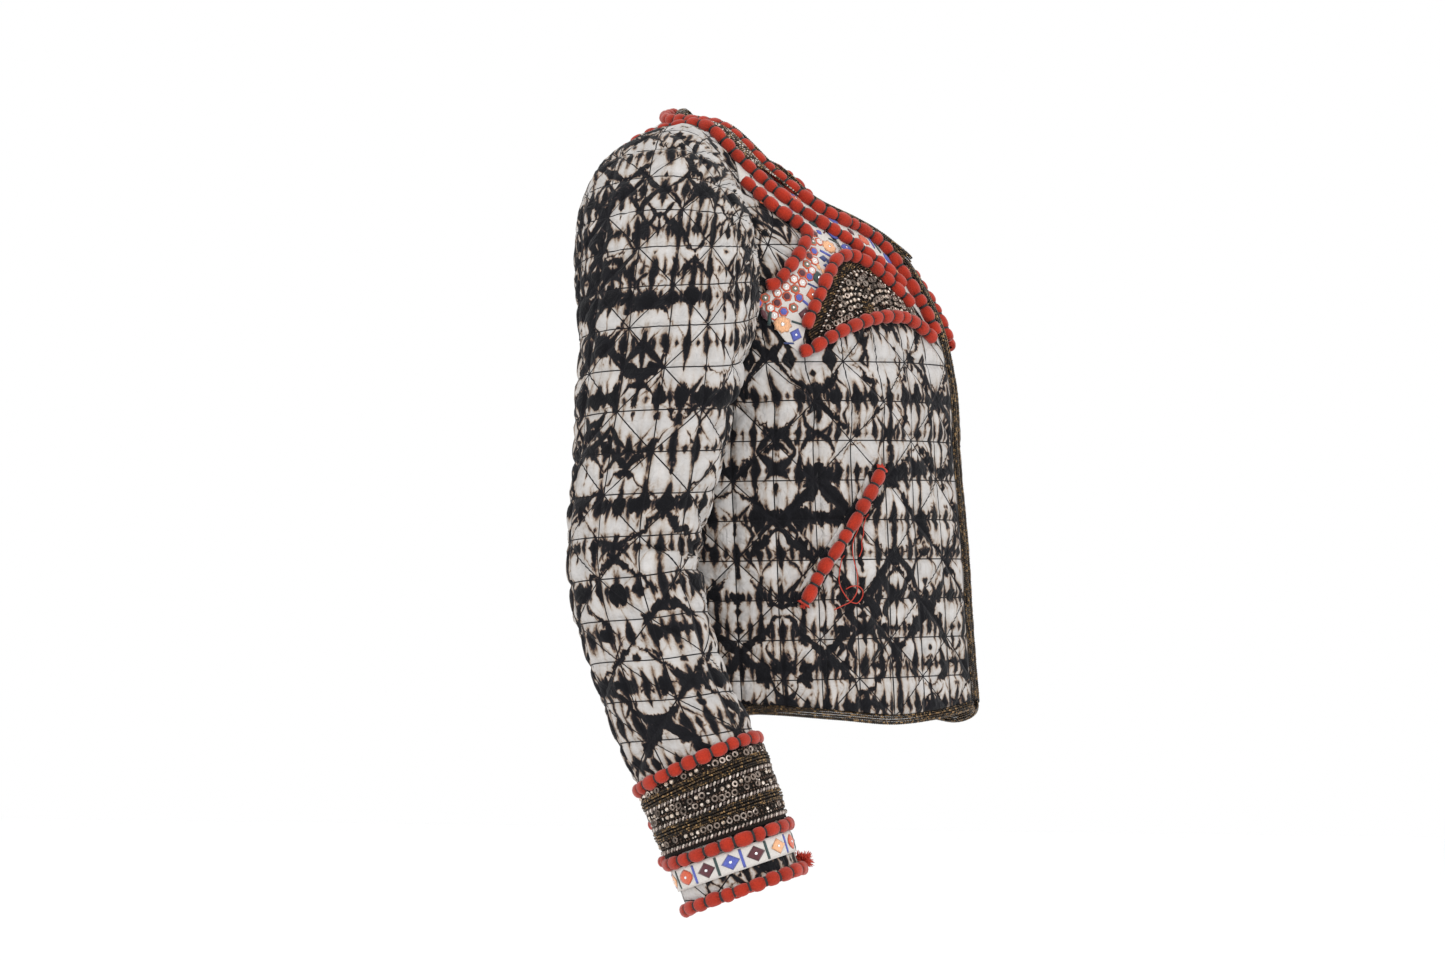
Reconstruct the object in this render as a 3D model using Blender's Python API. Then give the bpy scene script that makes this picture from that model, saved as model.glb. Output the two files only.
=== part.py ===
"""Short quilted mirror work jacket, held in its worn shape.

Metres in the scene, millimetres in the tables. +Z is up, the fronts face -Y and
x = 0 is the centre plane. The origin lies between the shoulders, at their height.
"""

import math

import bmesh
import bpy
import numpy as np
from mathutils import Vector
from mathutils.bvhtree import BVHTree

MM = 0.001

# Driving sizes, in millimetres
CLOTH = 3.0
PATCH = 1.0
SEAM_GAP = 0.3
QUILT_RISE = 2.2
PUFF_LENGTH = 10.5
PUFF_WIDTH = 9.4
GROOVE_WIDTH = 6.6
CORD_ROUNDNESS = 0
BRAID_WIDTH = 6.6
BRAID_THICKNESS = 2.2
EDGE_TO_MIDDLE = 8.0
SEAT = 0.35
CORD_SEAT = 0.15

# Half sections of the body cloth. "over" is the way down from the shoulder line,
# in front (+) or behind (-). "prow" turns the front edge out.
BODY_COLUMNS = ("over", "middle_z", "side_z", "half_width", "middle_y", "side_y", "roundness", "prow")
BODY_ROWS = (
    (484, -483, -489, 181, -145, 20, 1.60, 3),
    (410, -409, -415, 175, -139, 19, 1.70, 3),
    (340, -339, -345, 171, -134, 18, 1.80, 4),
    (270, -268, -275, 171, -127, 20, 1.90, 5),
    (210, -208, -215, 173, -123, 27, 2.00, 6),
    (150, -146, -155, 175, -106, 40, 2.00, 7),
    (90, -86, -98, 178, -67, 47, 2.00, 6),
    (40, -33, -52, 182, -5, 50, 1.80, 0),
    (0, 3, -22, 187, 42, 52, 2.00, 0),
    (-40, 21, -52, 182, 104, 50, 3.20, 0),
    (-90, -25, -98, 178, 124, 47, 4.00, 0),
    (-150, -108, -155, 175, 131, 40, 3.60, 0),
    (-210, -205, -215, 173, 124, 27, 3.00, 0),
    (-270, -265, -275, 171, 113, 20, 2.60, 0),
    (-340, -335, -345, 171, 105, 18, 2.40, 0),
    (-410, -405, -415, 175, 106, 19, 2.30, 0),
    (-484, -479, -489, 181, 110, 20, 2.20, 0),
)
OVER_MOST = 484.0
OVER_STEP = 2.0
ACROSS_STEPS = 128
SECTION_POINTS = 181
SHOULDER_CURVE = 1.3
PROW_REACH = 18.0
BODY_MIDDLE = np.array([0.0, 20.0, -250.0])
# About how many millimetres a hundredth across is, over the whole body and at the pocket
ACROSS_MM = 2.5
POCKET_ACROSS_MM = 2.7

# Lines on the body cloth. "across" is the share of the way from the centre to the
# side, in hundredths, and comes first. "over" comes second.
NECK_FRONT = ((39.5, 0), (43, 12), (41.5, 34), (38.5, 55), (34, 69), (25, 78), (16, 86), (8.5, 96),
              (3.4, 111))
NECK_BACK = ((39.5, 0), (36.5, -9), (27, -23), (14, -33), (0, -36))
ARMHOLE_FRONT = ((100, 206), (89, 193), (81, 168), (77.5, 138), (76, 106), (74.5, 74), (72, 40),
                 (71, 18), (70, 0))
ARMHOLE_BACK = ((70, 0), (70.5, -22), (72, -48), (76, -90), (81, -132), (88, -176), (100, -206))
FRONT_SEAM = ((82, 171), (72, 200), (67.5, 232), (67, 300), (65.5, 400), (64, 484))
BACK_SEAM = ((83, -171), (77, -200), (74, -232), (73, -300), (73, -400), (73, -484))
HEM_RISE = ((0, 10), (14, 5), (25, 2), (40, 0), (60, 5), (85, 11), (100, 12))
HEM_OVER = 473.0

CORD_NECK = ((0.25, -43), (16, -40), (31, -29), (42, -10), (48, 12), (46.5, 35), (43, 57), (38, 74),
             (29, 84), (20, 91), (15, 101), (13, 121), (11.5, 143), (9, 165), (8, 174))
CORD_MIDDLE = ((0.25, -104), (20, -101), (37, -89), (49, -70), (56, -48), (60, -28), (64, -6), (66, 12),
               (63.5, 28), (60, 42), (56, 60), (51, 75.5), (43.5, 88.5), (35.5, 101.5), (28.5, 114),
               (22, 126.5), (18, 137))
CORD_OUTER = ((70.5, 51), (66, 64), (62, 77), (56.5, 88), (54.5, 95), (57, 102), (63, 116), (68.5, 129),
              (71.5, 135.5), (75, 137))
CORD_POINT = ((65.5, 172), (63, 162), (57.5, 144), (52, 127), (48, 118), (44, 114), (39, 113.5),
              (33.5, 118), (29, 126), (25, 135), (21.5, 143.5), (18, 152))
CORD_BASE = ((69, 189), (64.5, 186), (59, 179), (53, 173), (47.5, 168.5), (43, 165.5), (37.5, 162.5),
             (31, 161.5), (25, 162.5), (19.5, 166), (15, 171.5), (11, 178))
TRIANGLE_BASE = ((63.5, 184.5), (59, 179), (53, 173), (47.5, 168.5), (43, 165.5), (37.5, 162.5),
                 (31, 161.5), (25, 162.5), (19.5, 166), (15, 171.5), (13, 174.5))
CHEST_OUTER = ((70.5, 51), (66, 64), (62, 77), (56.5, 88), (54.5, 95), (57, 102), (63, 116), (68.5, 129),
               (71.5, 136), (75, 142), (75.8, 154), (75, 168), (72.5, 181), (69, 189))
CHEST_INNER = ((63, 30), (60, 42), (56, 60), (51, 75.5), (46, 86), (43, 95), (42.5, 106), (44, 114),
               (48, 118), (52, 127), (57.5, 144), (63, 162), (66.5, 178))
POINT_BAND = ((41, 92), (35.5, 101.5), (28.5, 114), (22, 126.5), (18, 137))
POINT_SIDE = ((40.5, 113.5), (37, 114.8), (33.5, 118), (29, 126), (25, 135), (21.5, 143.5), (18, 152))
POCKET = ((46, 282), (51.5, 304), (57, 324), (62, 342), (67.5, 361), (72.5, 384))

# The sleeve's middle line below the armhole. "width" lies fore and aft.
SLEEVE_COLUMNS = ("x", "y", "z", "width", "thickness")
RIGHT_SLEEVE = (
    (226, 47, -233, 121, 88),
    (228, 57, -295, 106, 80),
    (230, 64, -357, 97, 79),
    (231, 55, -403, 94, 76),
    (232, 34, -465, 91, 74),
    (232, 10, -514, 94, 74),
    (227, -25, -610, 87, 74),
)
LEFT_SLEEVE = (
    (226, 62, -236, 119, 88),
    (229, 93, -293, 106, 80),
    (232, 125, -351, 98, 79),
    (234, 147, -396, 95, 76),
    (236, 168, -458, 91, 74),
    (236, 170, -508, 94, 74),
    (232, 150, -605, 87, 74),
)
# The left sleeve hangs back, so that shoulder rolls back and down.
SHOULDER_ROLL = (0.0, 10.0, -8.0)
ROLL_SHARE = 0.3
ROLL_LEVEL = 210.0
ROLL_REACH = 110.0
SLEEVE_ROUNDNESS = 2.2
CAP_LENGTH = 210.0
CAP_STEPS = 70
ALONG_STEP = 2.0
ROUND_STEPS = 96

# How the sleeve head leaves the armhole, and how far each end pulls, as a share of
# the way between them. "round" is in hundredths: 0 underarm, 25 front, 50 top, 75 back.
CAP_COLUMNS = ("round", "outward", "backward", "upward", "pull_armhole", "pull_arm")
CAP_ROWS = (
    (0, 0.75, 0.0, -0.65, 0.40, 0.30),
    (25, 0.90, -0.35, 0.00, 0.35, 0.35),
    (50, 1.00, 0.00, 0.10, 0.33, 0.46),
    (75, 0.70, 0.60, 0.05, 0.42, 0.42),
    (100, 0.75, 0.0, -0.65, 0.40, 0.30),
)

# Largest folds. Height is out (+) or in (-), "turn" is the fold's lean in degrees.
FOLD_COLUMNS = ("place", "down", "length", "width", "turn", "height")
BODY_FOLDS = (
    (80, 205, 60, 16, 15, -4.0),
    (74, 222, 60, 18, 24, 4.0),
    (60, 205, 60, 18, 10, -3.5),
)
SLEEVE_FOLDS = (
    (30, 124, 46, 11, -12, -6.0),
    (34, 146, 60, 18, 10, 4.0),
    (36, 100, 60, 20, -20, 3.0),
    (20, -4, 60, 16, 35, -3.0),
)
# The body's folds fade out towards the shoulder line
FOLD_FADE = 40.0
SLEEVE_GIRTH = 280.0


def table(columns, rows):
    """A named array for each column of a table."""
    return dict(zip(columns, np.array(rows, float).T))


def smooth(where, knots, values):
    """Reads a smooth curve through table values at the places asked."""
    knots = np.asarray(knots, float)
    values = np.asarray(values, float)
    if knots[0] > knots[-1]:
        knots, values = knots[::-1], values[::-1]
    slopes = np.gradient(values, knots, axis=0)
    where = np.clip(where, knots[0], knots[-1])
    left = np.clip(np.searchsorted(knots, where, side="right") - 1, 0, len(knots) - 2)
    step = knots[left + 1] - knots[left]
    t = (where - knots[left]) / step
    if values.ndim > 1:
        step, t = step[..., None], t[..., None]
    start, end = values[left], values[left + 1]
    leave, arrive = slopes[left] * step, slopes[left + 1] * step
    return (
        (2 * t**3 - 3 * t**2 + 1) * start
        + (t**3 - 2 * t**2 + t) * leave
        + (3 * t**2 - 2 * t**3) * end
        + (t**3 - t**2) * arrive
    )


def lengths(points):
    """Distance along a row of points."""
    steps = np.linalg.norm(np.diff(points, axis=0), axis=1)
    return np.concatenate([[0.0], np.cumsum(steps)])


def line(rows, shares):
    """Places along a smooth line through table rows, at shares of its length."""
    rows = np.array(rows, float)
    knots = lengths(rows * (ACROSS_MM, 1.0))
    return smooth(np.asarray(shares) * knots[-1], knots, rows)


def fold_height(folds, place, down, place_width):
    """Height in millimetres that the folds give at each place."""
    height = np.zeros(np.broadcast(place, down).shape)
    for row in folds:
        fold = dict(zip(FOLD_COLUMNS, row))
        lean = math.radians(fold["turn"])
        sideways = (place * 100 - fold["place"]) * place_width / 100
        below = down - fold["down"]
        along = sideways * math.cos(lean) + below * math.sin(lean)
        beside = below * math.cos(lean) - sideways * math.sin(lean)
        height += fold["height"] * np.exp(-((along / fold["length"]) ** 2) - (beside / fold["width"]) ** 2)
    return height


def surface_normals(grid, outward):
    """Unit normals of a grid of points, turned to face away from the given points."""
    normal = np.cross(np.gradient(grid, axis=0), np.gradient(grid, axis=1))
    normal /= np.linalg.norm(normal, axis=2, keepdims=True)
    side = np.sign(np.sum(normal * (grid - outward), axis=2).mean())
    return normal * side


def body_grid():
    """Points and normals of half the body cloth, hem to hem over the shoulder."""
    rows = table(BODY_COLUMNS, BODY_ROWS)
    over = np.arange(-OVER_MOST, OVER_MOST + OVER_STEP / 2, OVER_STEP)
    at = {name: smooth(over, rows["over"], rows[name])[:, None] for name in BODY_COLUMNS}
    turn = np.linspace(0, math.pi / 2, SECTION_POINTS)
    x = at["half_width"] * np.sin(turn) ** (2 / at["roundness"])
    depth = np.cos(turn).clip(0) ** (2 / at["roundness"])
    y = at["side_y"] + (at["middle_y"] - at["side_y"]) * depth - at["prow"] * np.exp(-x / PROW_REACH)
    z = at["middle_z"] + (at["side_z"] - at["middle_z"]) * (x / at["half_width"]) ** SHOULDER_CURVE
    sections = np.stack([x, y, z], axis=-1)
    across = np.linspace(0, 1, ACROSS_STEPS + 1)
    grid = np.empty((len(over), len(across), 3))
    for k, section in enumerate(sections):
        reach = lengths(section)
        for axis in range(3):
            grid[k, :, axis] = np.interp(across * reach[-1], reach, section[:, axis])
    normal = surface_normals(grid, BODY_MIDDLE)
    girth = lengths(grid[len(over) // 4])[-1]
    lift = fold_height(BODY_FOLDS, across[None, :], np.abs(over)[:, None], girth)
    lift *= np.clip(np.abs(over) / FOLD_FADE, 0, 1)[:, None]
    grid = grid + normal * lift[..., None]
    return grid * MM, surface_normals(grid, BODY_MIDDLE)


BODY_POINTS, BODY_NORMALS = body_grid()


def read(grid, i, j):
    """Values of a fine grid between its rows and columns."""
    low_i = np.floor(i).astype(int)
    low_j = np.floor(j).astype(int)
    u = (i - low_i)[..., None]
    v = (j - low_j)[..., None]
    near = grid[low_i, low_j] * (1 - v) + grid[low_i, low_j + 1] * v
    far = grid[low_i + 1, low_j] * (1 - v) + grid[low_i + 1, low_j + 1] * v
    return near * (1 - u) + far * u


def body(across, over, out=0.0, side=1):
    """Points at shares across and millimetres over, moved out; side is -1 on the wearer's right."""
    across, over = np.broadcast_arrays(np.asarray(across, float), np.asarray(over, float))
    i = np.clip((over + OVER_MOST) / OVER_STEP, 0, BODY_POINTS.shape[0] - 1.001)
    j = np.clip(across * ACROSS_STEPS, 0, ACROSS_STEPS - 0.001)
    out = np.asarray(out, float)[..., None] * MM
    points = read(BODY_POINTS, i, j) + out * read(BODY_NORMALS, i, j)
    if side > 0:
        outer = np.clip(across / ROLL_SHARE, 0, 1)
        upper = np.clip((ROLL_LEVEL - np.abs(over)) / ROLL_REACH, 0, 1)
        roll = outer**2 * (3 - 2 * outer) * upper**2 * (3 - 2 * upper)
        points = points + roll[..., None] * np.array(SHOULDER_ROLL) * MM
    return points * (side, 1, 1)


def armhole(rounds):
    """Places on the armhole: 0 underarm, 0.25 front, 0.5 top, 0.75 back, 1 underarm."""
    front = line(ARMHOLE_FRONT, np.clip(rounds * 2, 0, 1))
    back = line(ARMHOLE_BACK, np.clip(rounds * 2 - 1, 0, 1))
    places = np.where((rounds <= 0.5)[:, None], front, back)
    return places[:, 0] / 100, places[:, 1]


def sleeve_rings(rows, along, rounds):
    """Rings of the arm of the sleeve, square to its middle line."""
    at = table(SLEEVE_COLUMNS, rows)
    middle = np.stack([at["x"], at["y"], at["z"]], axis=1)
    knots = lengths(middle)
    share = along / knots[-1]
    centre = smooth(share, knots / knots[-1], middle)
    width = smooth(share, knots / knots[-1], at["width"])[:, None, None]
    thickness = smooth(share, knots / knots[-1], at["thickness"])[:, None, None]
    down = np.gradient(centre, axis=0)
    down /= np.linalg.norm(down, axis=1, keepdims=True)
    outward = np.array([1.0, 0.0, 0.0]) - down * down[:, :1]
    outward /= np.linalg.norm(outward, axis=1, keepdims=True)
    forward = np.cross(outward, down)
    forward *= -np.sign(forward[:, 1:2])
    angle = rounds * 2 * math.pi
    power = 2 / SLEEVE_ROUNDNESS
    flat = (np.sign(np.cos(angle)) * np.abs(np.cos(angle)) ** power)[None, :, None]
    fore = (np.sign(np.sin(angle)) * np.abs(np.sin(angle)) ** power)[None, :, None]
    rings = centre[:, None] - outward[:, None] * flat * thickness / 2 + forward[:, None] * fore * width / 2
    return rings, centre, down


def sleeve_length(rows):
    at = table(SLEEVE_COLUMNS, rows)
    return lengths(np.stack([at["x"], at["y"], at["z"]], axis=1))[-1]


def sleeve_grid(rows, side):
    """Points and normals of a sleeve as if on the +X side: the head from the armhole, then the arm."""
    rounds = np.linspace(0, 1, ROUND_STEPS + 1)
    steps = round(sleeve_length(rows) / ALONG_STEP)
    along = np.linspace(0, sleeve_length(rows), steps + 1)
    arm, centre, down = sleeve_rings(rows, along, rounds)
    start = body(*armhole(rounds), side=side) * (side, 1, 1) / MM
    cap = table(CAP_COLUMNS, CAP_ROWS)
    at = {name: smooth(rounds, cap["round"] / 100, cap[name])[:, None] for name in CAP_COLUMNS}
    leave = np.concatenate([at["outward"], at["backward"], at["upward"]], axis=1)
    leave /= np.linalg.norm(leave, axis=1, keepdims=True)
    gap = np.linalg.norm(arm[0] - start, axis=1, keepdims=True)
    pull_start = start + leave * gap * at["pull_armhole"]
    pull_end = arm[0] - down[0] * gap * at["pull_arm"]
    t = np.linspace(0, 1, CAP_STEPS + 1)[:-1, None, None]
    head = (
        (1 - t) ** 3 * start + 3 * t * (1 - t) ** 2 * pull_start
        + 3 * t**2 * (1 - t) * pull_end + t**3 * arm[0]
    )
    grid = np.concatenate([head, arm])
    middles = np.concatenate([np.repeat(centre[:1], CAP_STEPS, axis=0), centre])[:, None]
    normal = ring_normals(grid, middles)
    down_mm = np.concatenate([(t[:, 0, 0] - 1) * CAP_LENGTH, along])[:, None]
    lift = fold_height(SLEEVE_FOLDS, rounds[None, :], down_mm, SLEEVE_GIRTH)
    grid = grid + normal * lift[..., None]
    normal = ring_normals(grid, middles)
    return grid * MM, normal


def ring_normals(grid, middles):
    """Unit normals of rings of points whose first and last columns are one seam."""
    wrapped = np.concatenate([grid[:, -2:-1], grid, grid[:, 1:2]], axis=1)
    around = (wrapped[:, 2:] - wrapped[:, :-2]) / 2
    normal = np.cross(np.gradient(grid, axis=0), around)
    normal /= np.linalg.norm(normal, axis=2, keepdims=True) + 1e-12
    side = np.sign(np.sum(normal[CAP_STEPS:] * (grid - middles)[CAP_STEPS:], axis=2).mean())
    return normal * side


SLEEVES = {-1: sleeve_grid(RIGHT_SLEEVE, -1), 1: sleeve_grid(LEFT_SLEEVE, 1)}
ARM_LENGTH = {-1: sleeve_length(RIGHT_SLEEVE), 1: sleeve_length(LEFT_SLEEVE)}


def sleeve(rounds, along, out=0.0, side=1):
    """Points round a sleeve and millimetres along it; above 0 lies the head, up to the armhole."""
    points, normals = SLEEVES[side]
    rounds, along = np.broadcast_arrays(np.asarray(rounds, float), np.asarray(along, float))
    steps = points.shape[0] - CAP_STEPS - 1
    head = CAP_STEPS + along / CAP_LENGTH * CAP_STEPS
    arm = CAP_STEPS + along / ARM_LENGTH[side] * steps
    i = np.clip(np.where(along < 0, head, arm), 0, points.shape[0] - 1.001)
    j = (rounds % 1.0) * ROUND_STEPS
    out = np.asarray(out, float)[..., None] * MM
    found = read(points, i, j) + out * read(normals, i, j)
    return found * (side, 1, 1)


COLOURS = {
    "quilted_cotton": ((0.42, 0.38, 0.35), 0.90, 0.0),
    "embroidered_cotton": ((0.66, 0.60, 0.56), 0.85, 0.0),
    "puff_cotton": ((0.56, 0.06, 0.04), 0.90, 0.0),
    "bronze_beads": ((0.16, 0.12, 0.08), 0.45, 0.6),
    "crystal_beads": ((0.40, 0.38, 0.36), 0.35, 0.5),
}

# How the panels are divided, in cells about one quilting square wide
LOWER_ROWS = 9
FRONT_COLUMNS = 5
SIDE_FRONT_COLUMNS = 3
SIDE_BACK_COLUMNS = 2
BACK_COLUMNS = 5
EDGE_ROWS = 2
NECK_ROWS = 6
BACK_EDGE_ROWS = 5
BACK_NECK_ROWS = 3
UPPER_ROWS = EDGE_ROWS + NECK_ROWS
CHEST_LEVEL = 175.0
SLEEVE_COLUMNS_ROUND = 10
HEAD_ROWS = 6
ARM_ROWS = 8
PLAIN_FRONT = 196.0
PLAIN_BACK = -128.0
MITRE_MOST = 2.3
ARMHOLE_GAP = 0.7
SMALL_CELL = 17.0
RIM_STEP = 0.1
JOIN = 0.01
CENTRE_SHARE = 0.01
LINE_POINTS = 161
ROUND_POINTS = 1001

# Cuff places, in millimetres up from the edge of the sleeve
CUFF_CORDS = (105.0, 41.0, 5.5)
BEAD_BAND = (100.5, 73.0, 46.0)
MIRROR_BAND = (36.0, 19.5)
SLEEVE_PLAIN = 112.0
EDGE_IN = 1.2
STRIP_STEP = 18.0
STRIP_COLUMNS = 4
CUTTER_BELOW = -5.0
CUTTER_ABOVE = 12.0
MOST_INSET = 0.4
SEEK = 30.0
CORD_END = 0.45
CORD_STEPS = 4
POCKET_LIP = 9.0


def start_scene():
    for old in list(bpy.data.objects):
        bpy.data.objects.remove(old)
    made = []
    for name in ("mirror_work_jacket", "guides"):
        group = bpy.data.collections.new(name)
        bpy.context.scene.collection.children.link(group)
        made.append(group)
    return made


PIECES, GUIDES = start_scene()
MATERIALS = {}


def material(slot):
    if slot not in MATERIALS:
        colour, roughness, metallic = COLOURS[slot]
        made = bpy.data.materials.new(slot)
        made.use_nodes = True
        shader = made.node_tree.nodes["Principled BSDF"]
        shader.inputs["Base Color"].default_value = (*colour, 1.0)
        shader.inputs["Roughness"].default_value = roughness
        shader.inputs["Metallic"].default_value = metallic
        MATERIALS[slot] = made
    return MATERIALS[slot]


def add_object(name, data, slot):
    """Links a new object: a piece, or a guide when it has no slot."""
    made = bpy.data.objects.new(name, data)
    if slot is None:
        GUIDES.objects.link(made)
        made.hide_render = True
        made.display_type = "WIRE"
    else:
        data.materials.append(material(slot))
        PIECES.objects.link(made)
    return made


def cell_halves(row, column):
    """The two triangles of a cell as (row, column) steps, their shared side turning cell by cell."""
    if (row + column) % 2 == 0:
        return ((0, 0), (0, 1), (1, 1)), ((0, 0), (1, 1), (1, 0))
    return ((0, 0), (0, 1), (1, 0)), ((0, 1), (1, 1), (1, 0))


def add_wall(mesh, outer, inner, ring, raised, closed_edges):
    """Adds faces between two grids of points. Raised cells get a lifted point in each half."""
    rows, columns = outer.shape[:2]
    out = [[mesh.verts.new(p) for p in row] for row in outer]
    back = [[mesh.verts.new(p) for p in row] for row in inner]
    for i in range(rows - 1):
        for j in range(columns if ring else columns - 1):
            for half in cell_halves(i, j):
                at = [(i + di, (j + dj) % columns) for di, dj in half]
                front = [out[a][b] for a, b in at]
                rear = [back[a][b] for a, b in at]
                mesh.faces.new(list(reversed(rear)))
                if raised is None or not raised[i, j]:
                    mesh.faces.new(front)
                    continue
                middle = sum((v.co for v in front), Vector()) / 3
                lift = middle - sum((v.co for v in rear), Vector()) / 3
                top = mesh.verts.new(middle + lift.normalized() * QUILT_RISE * MM)
                for k in range(3):
                    mesh.faces.new((front[k], front[(k + 1) % 3], top))
    edges = []
    span = columns if ring else columns - 1
    edges += [((0, j), (0, (j + 1) % columns)) for j in range(span)]
    edges += [((rows - 1, (j + 1) % columns), (rows - 1, j)) for j in range(span)]
    if not ring:
        edges += [((i + 1, 0), (i, 0)) for i in range(rows - 1) if i >= closed_edges]
        edges += [((i, columns - 1), (i + 1, columns - 1)) for i in range(rows - 1)]
    for (a, b), (c, d) in edges:
        mesh.faces.new((out[c][d], out[a][b], back[a][b]))
        mesh.faces.new((out[c][d], back[a][b], back[c][d]))


def cloth_wall(name, grids, slot, ring=False, raised=None, closed_edges=0):
    """A closed wall of cloth. More than one pair of grids is joined where points meet."""
    mesh = bmesh.new()
    for k, (outer, inner) in enumerate(grids):
        add_wall(mesh, outer, inner, ring, None if raised is None else raised[k], closed_edges)
    if len(grids) > 1:
        bmesh.ops.remove_doubles(mesh, verts=mesh.verts, dist=JOIN * MM)
    bmesh.ops.recalc_face_normals(mesh, faces=mesh.faces)
    data = bpy.data.meshes.new(name)
    mesh.to_mesh(data)
    mesh.free()
    return add_object(name, data, slot)


def unit(vectors):
    return vectors / np.linalg.norm(vectors, axis=-1, keepdims=True)


def rim_anchors(side):
    """Armhole corners, their way out and their way to the sleeve, for body and sleeve alike."""
    rounds = np.arange(SLEEVE_COLUMNS_ROUND + 1) / SLEEVE_COLUMNS_ROUND
    places = armhole(rounds)
    centre = body(*places, side=side)
    body_out = unit(body(*places, out=1.0, side=side) - centre)
    sleeve_out = unit(sleeve(rounds, -CAP_LENGTH, 1.0, side) - sleeve(rounds, -CAP_LENGTH, 0.0, side))
    mean = body_out + sleeve_out
    size = np.linalg.norm(mean, axis=1, keepdims=True)
    ring = np.concatenate([centre[-2:-1], centre, centre[1:2]])
    across = np.cross(ring[2:] - ring[:-2], mean)
    to_sleeve = sleeve(rounds, RIM_STEP - CAP_LENGTH, 0.0, side) - centre
    across = unit(across) * np.sign(np.sum(across * to_sleeve, axis=1, keepdims=True))
    found = [centre, mean / size * np.minimum(2 / size, MITRE_MOST), across]
    for rows in found:
        rows[-1] = rows[0]
    return found


RIMS = {side: rim_anchors(side) for side in (-1, 1)}


def rim(rounds, out, side, apart):
    """Points on the armhole, straight from corner to corner, half a gap to the body (-1) or sleeve (+1)."""
    centre, way, to_sleeve = RIMS[side]
    corners = centre + (way * out + to_sleeve * apart * ARMHOLE_GAP / 2) * MM
    knots = np.arange(SLEEVE_COLUMNS_ROUND + 1) / SLEEVE_COLUMNS_ROUND
    return np.stack([np.interp(rounds, knots, corners[:, axis]) for axis in range(3)], axis=-1)


def round_nearest(across, over):
    """Where on the armhole a seam arrives."""
    rounds = np.linspace(0, 1, ROUND_POINTS)
    at_across, at_over = armhole(rounds)
    return rounds[np.argmin(np.hypot((at_across * 100 - across) * ACROSS_MM, at_over - over))]


def rim_rounds(start, stop, count):
    """Even steps round the armhole, the nearest ones moved onto its corners."""
    rounds = np.linspace(start, stop, count + 1)
    for corner in np.arange(SLEEVE_COLUMNS_ROUND + 1) / SLEEVE_COLUMNS_ROUND:
        if min(start, stop) < corner < max(start, stop):
            rounds[1 + np.argmin(np.abs(rounds[1:-1] - corner))] = corner
    return rounds


ROUND_FRONT = round_nearest(*FRONT_SEAM[0])
ROUND_BACK = round_nearest(*BACK_SEAM[0])


def hem(across):
    rise = np.array(HEM_RISE, float)
    return HEM_OVER - smooth(across, rise[:, 0], rise[:, 1])


def front_edge(over):
    """Places on the front edge, at a set distance from the centre plane."""
    rows = np.clip((over + OVER_MOST) / OVER_STEP, 0, BODY_POINTS.shape[0] - 1).astype(int)
    shares = np.linspace(0, 100, ACROSS_STEPS + 1)
    return np.array([np.interp(EDGE_TO_MIDDLE * MM, BODY_POINTS[r, :, 0], shares) for r in rows])


def seam_places(rows):
    """A side seam from the hem to the armhole."""
    shares = np.linspace(1, 0, LOWER_ROWS + 1)
    places = line(rows, shares)
    sign = np.sign(rows[-1][1])
    last = sign * hem(rows[-1][0])
    top = places[-1, 1]
    places[:, 1] = top + (places[:, 1] - top) * (last - top) / (places[0, 1] - top)
    return places


def armhole_places(rounds):
    across, over = armhole(rounds)
    return np.stack([across * 100, over], axis=1)


def fan(left, right, columns):
    """Places between two edges, row by row."""
    share = np.linspace(0, 1, columns + 1)[None, :, None]
    return left[:, None] + (right - left)[:, None] * share


def follow_hem(places):
    """Bends the lower rows along the hem."""
    sign = np.sign(places[0, 0, 1])
    wanted = sign * hem(places[0, :, 0])
    fade = np.clip(1 - np.arange(places.shape[0]) / LOWER_ROWS, 0, 1)[:, None]
    places[:, :, 1] += (wanted - places[0, :, 1])[None, :] * fade
    return places


def panel_points(places, side):
    """Outer and inner points of a panel, from its places on the body cloth."""
    grids = []
    for out in (CLOTH / 2, -CLOTH / 2):
        grid = body(places[..., 0] / 100, places[..., 1], out, side)
        grid[..., 0] *= places[..., 0] > CENTRE_SHARE
        grids.append(grid)
    return grids


def front_panel(side):
    seam = seam_places(FRONT_SEAM)
    low = np.linspace(hem(0), CHEST_LEVEL, LOWER_ROWS + 1)
    neck_end = NECK_FRONT[-1][1]
    high = np.linspace(CHEST_LEVEL, neck_end, EDGE_ROWS + 1)[1:]
    edge = np.concatenate([low, high])
    left = np.stack([front_edge(edge), edge], axis=1)
    neck = line(NECK_FRONT, np.linspace(1, 0, NECK_ROWS + 1))[1:]
    left = np.concatenate([left, neck])
    rounds = rim_rounds(ROUND_FRONT, 0.5, UPPER_ROWS)
    right = np.concatenate([seam[:-1], armhole_places(rounds)])
    places = follow_hem(fan(left, right, FRONT_COLUMNS))
    grids = panel_points(places, side)
    for grid, out in zip(grids, (CLOTH / 2, -CLOTH / 2)):
        grid[LOWER_ROWS:, -1] = rim(rounds, out, side, -1)
    return places, grids


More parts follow.
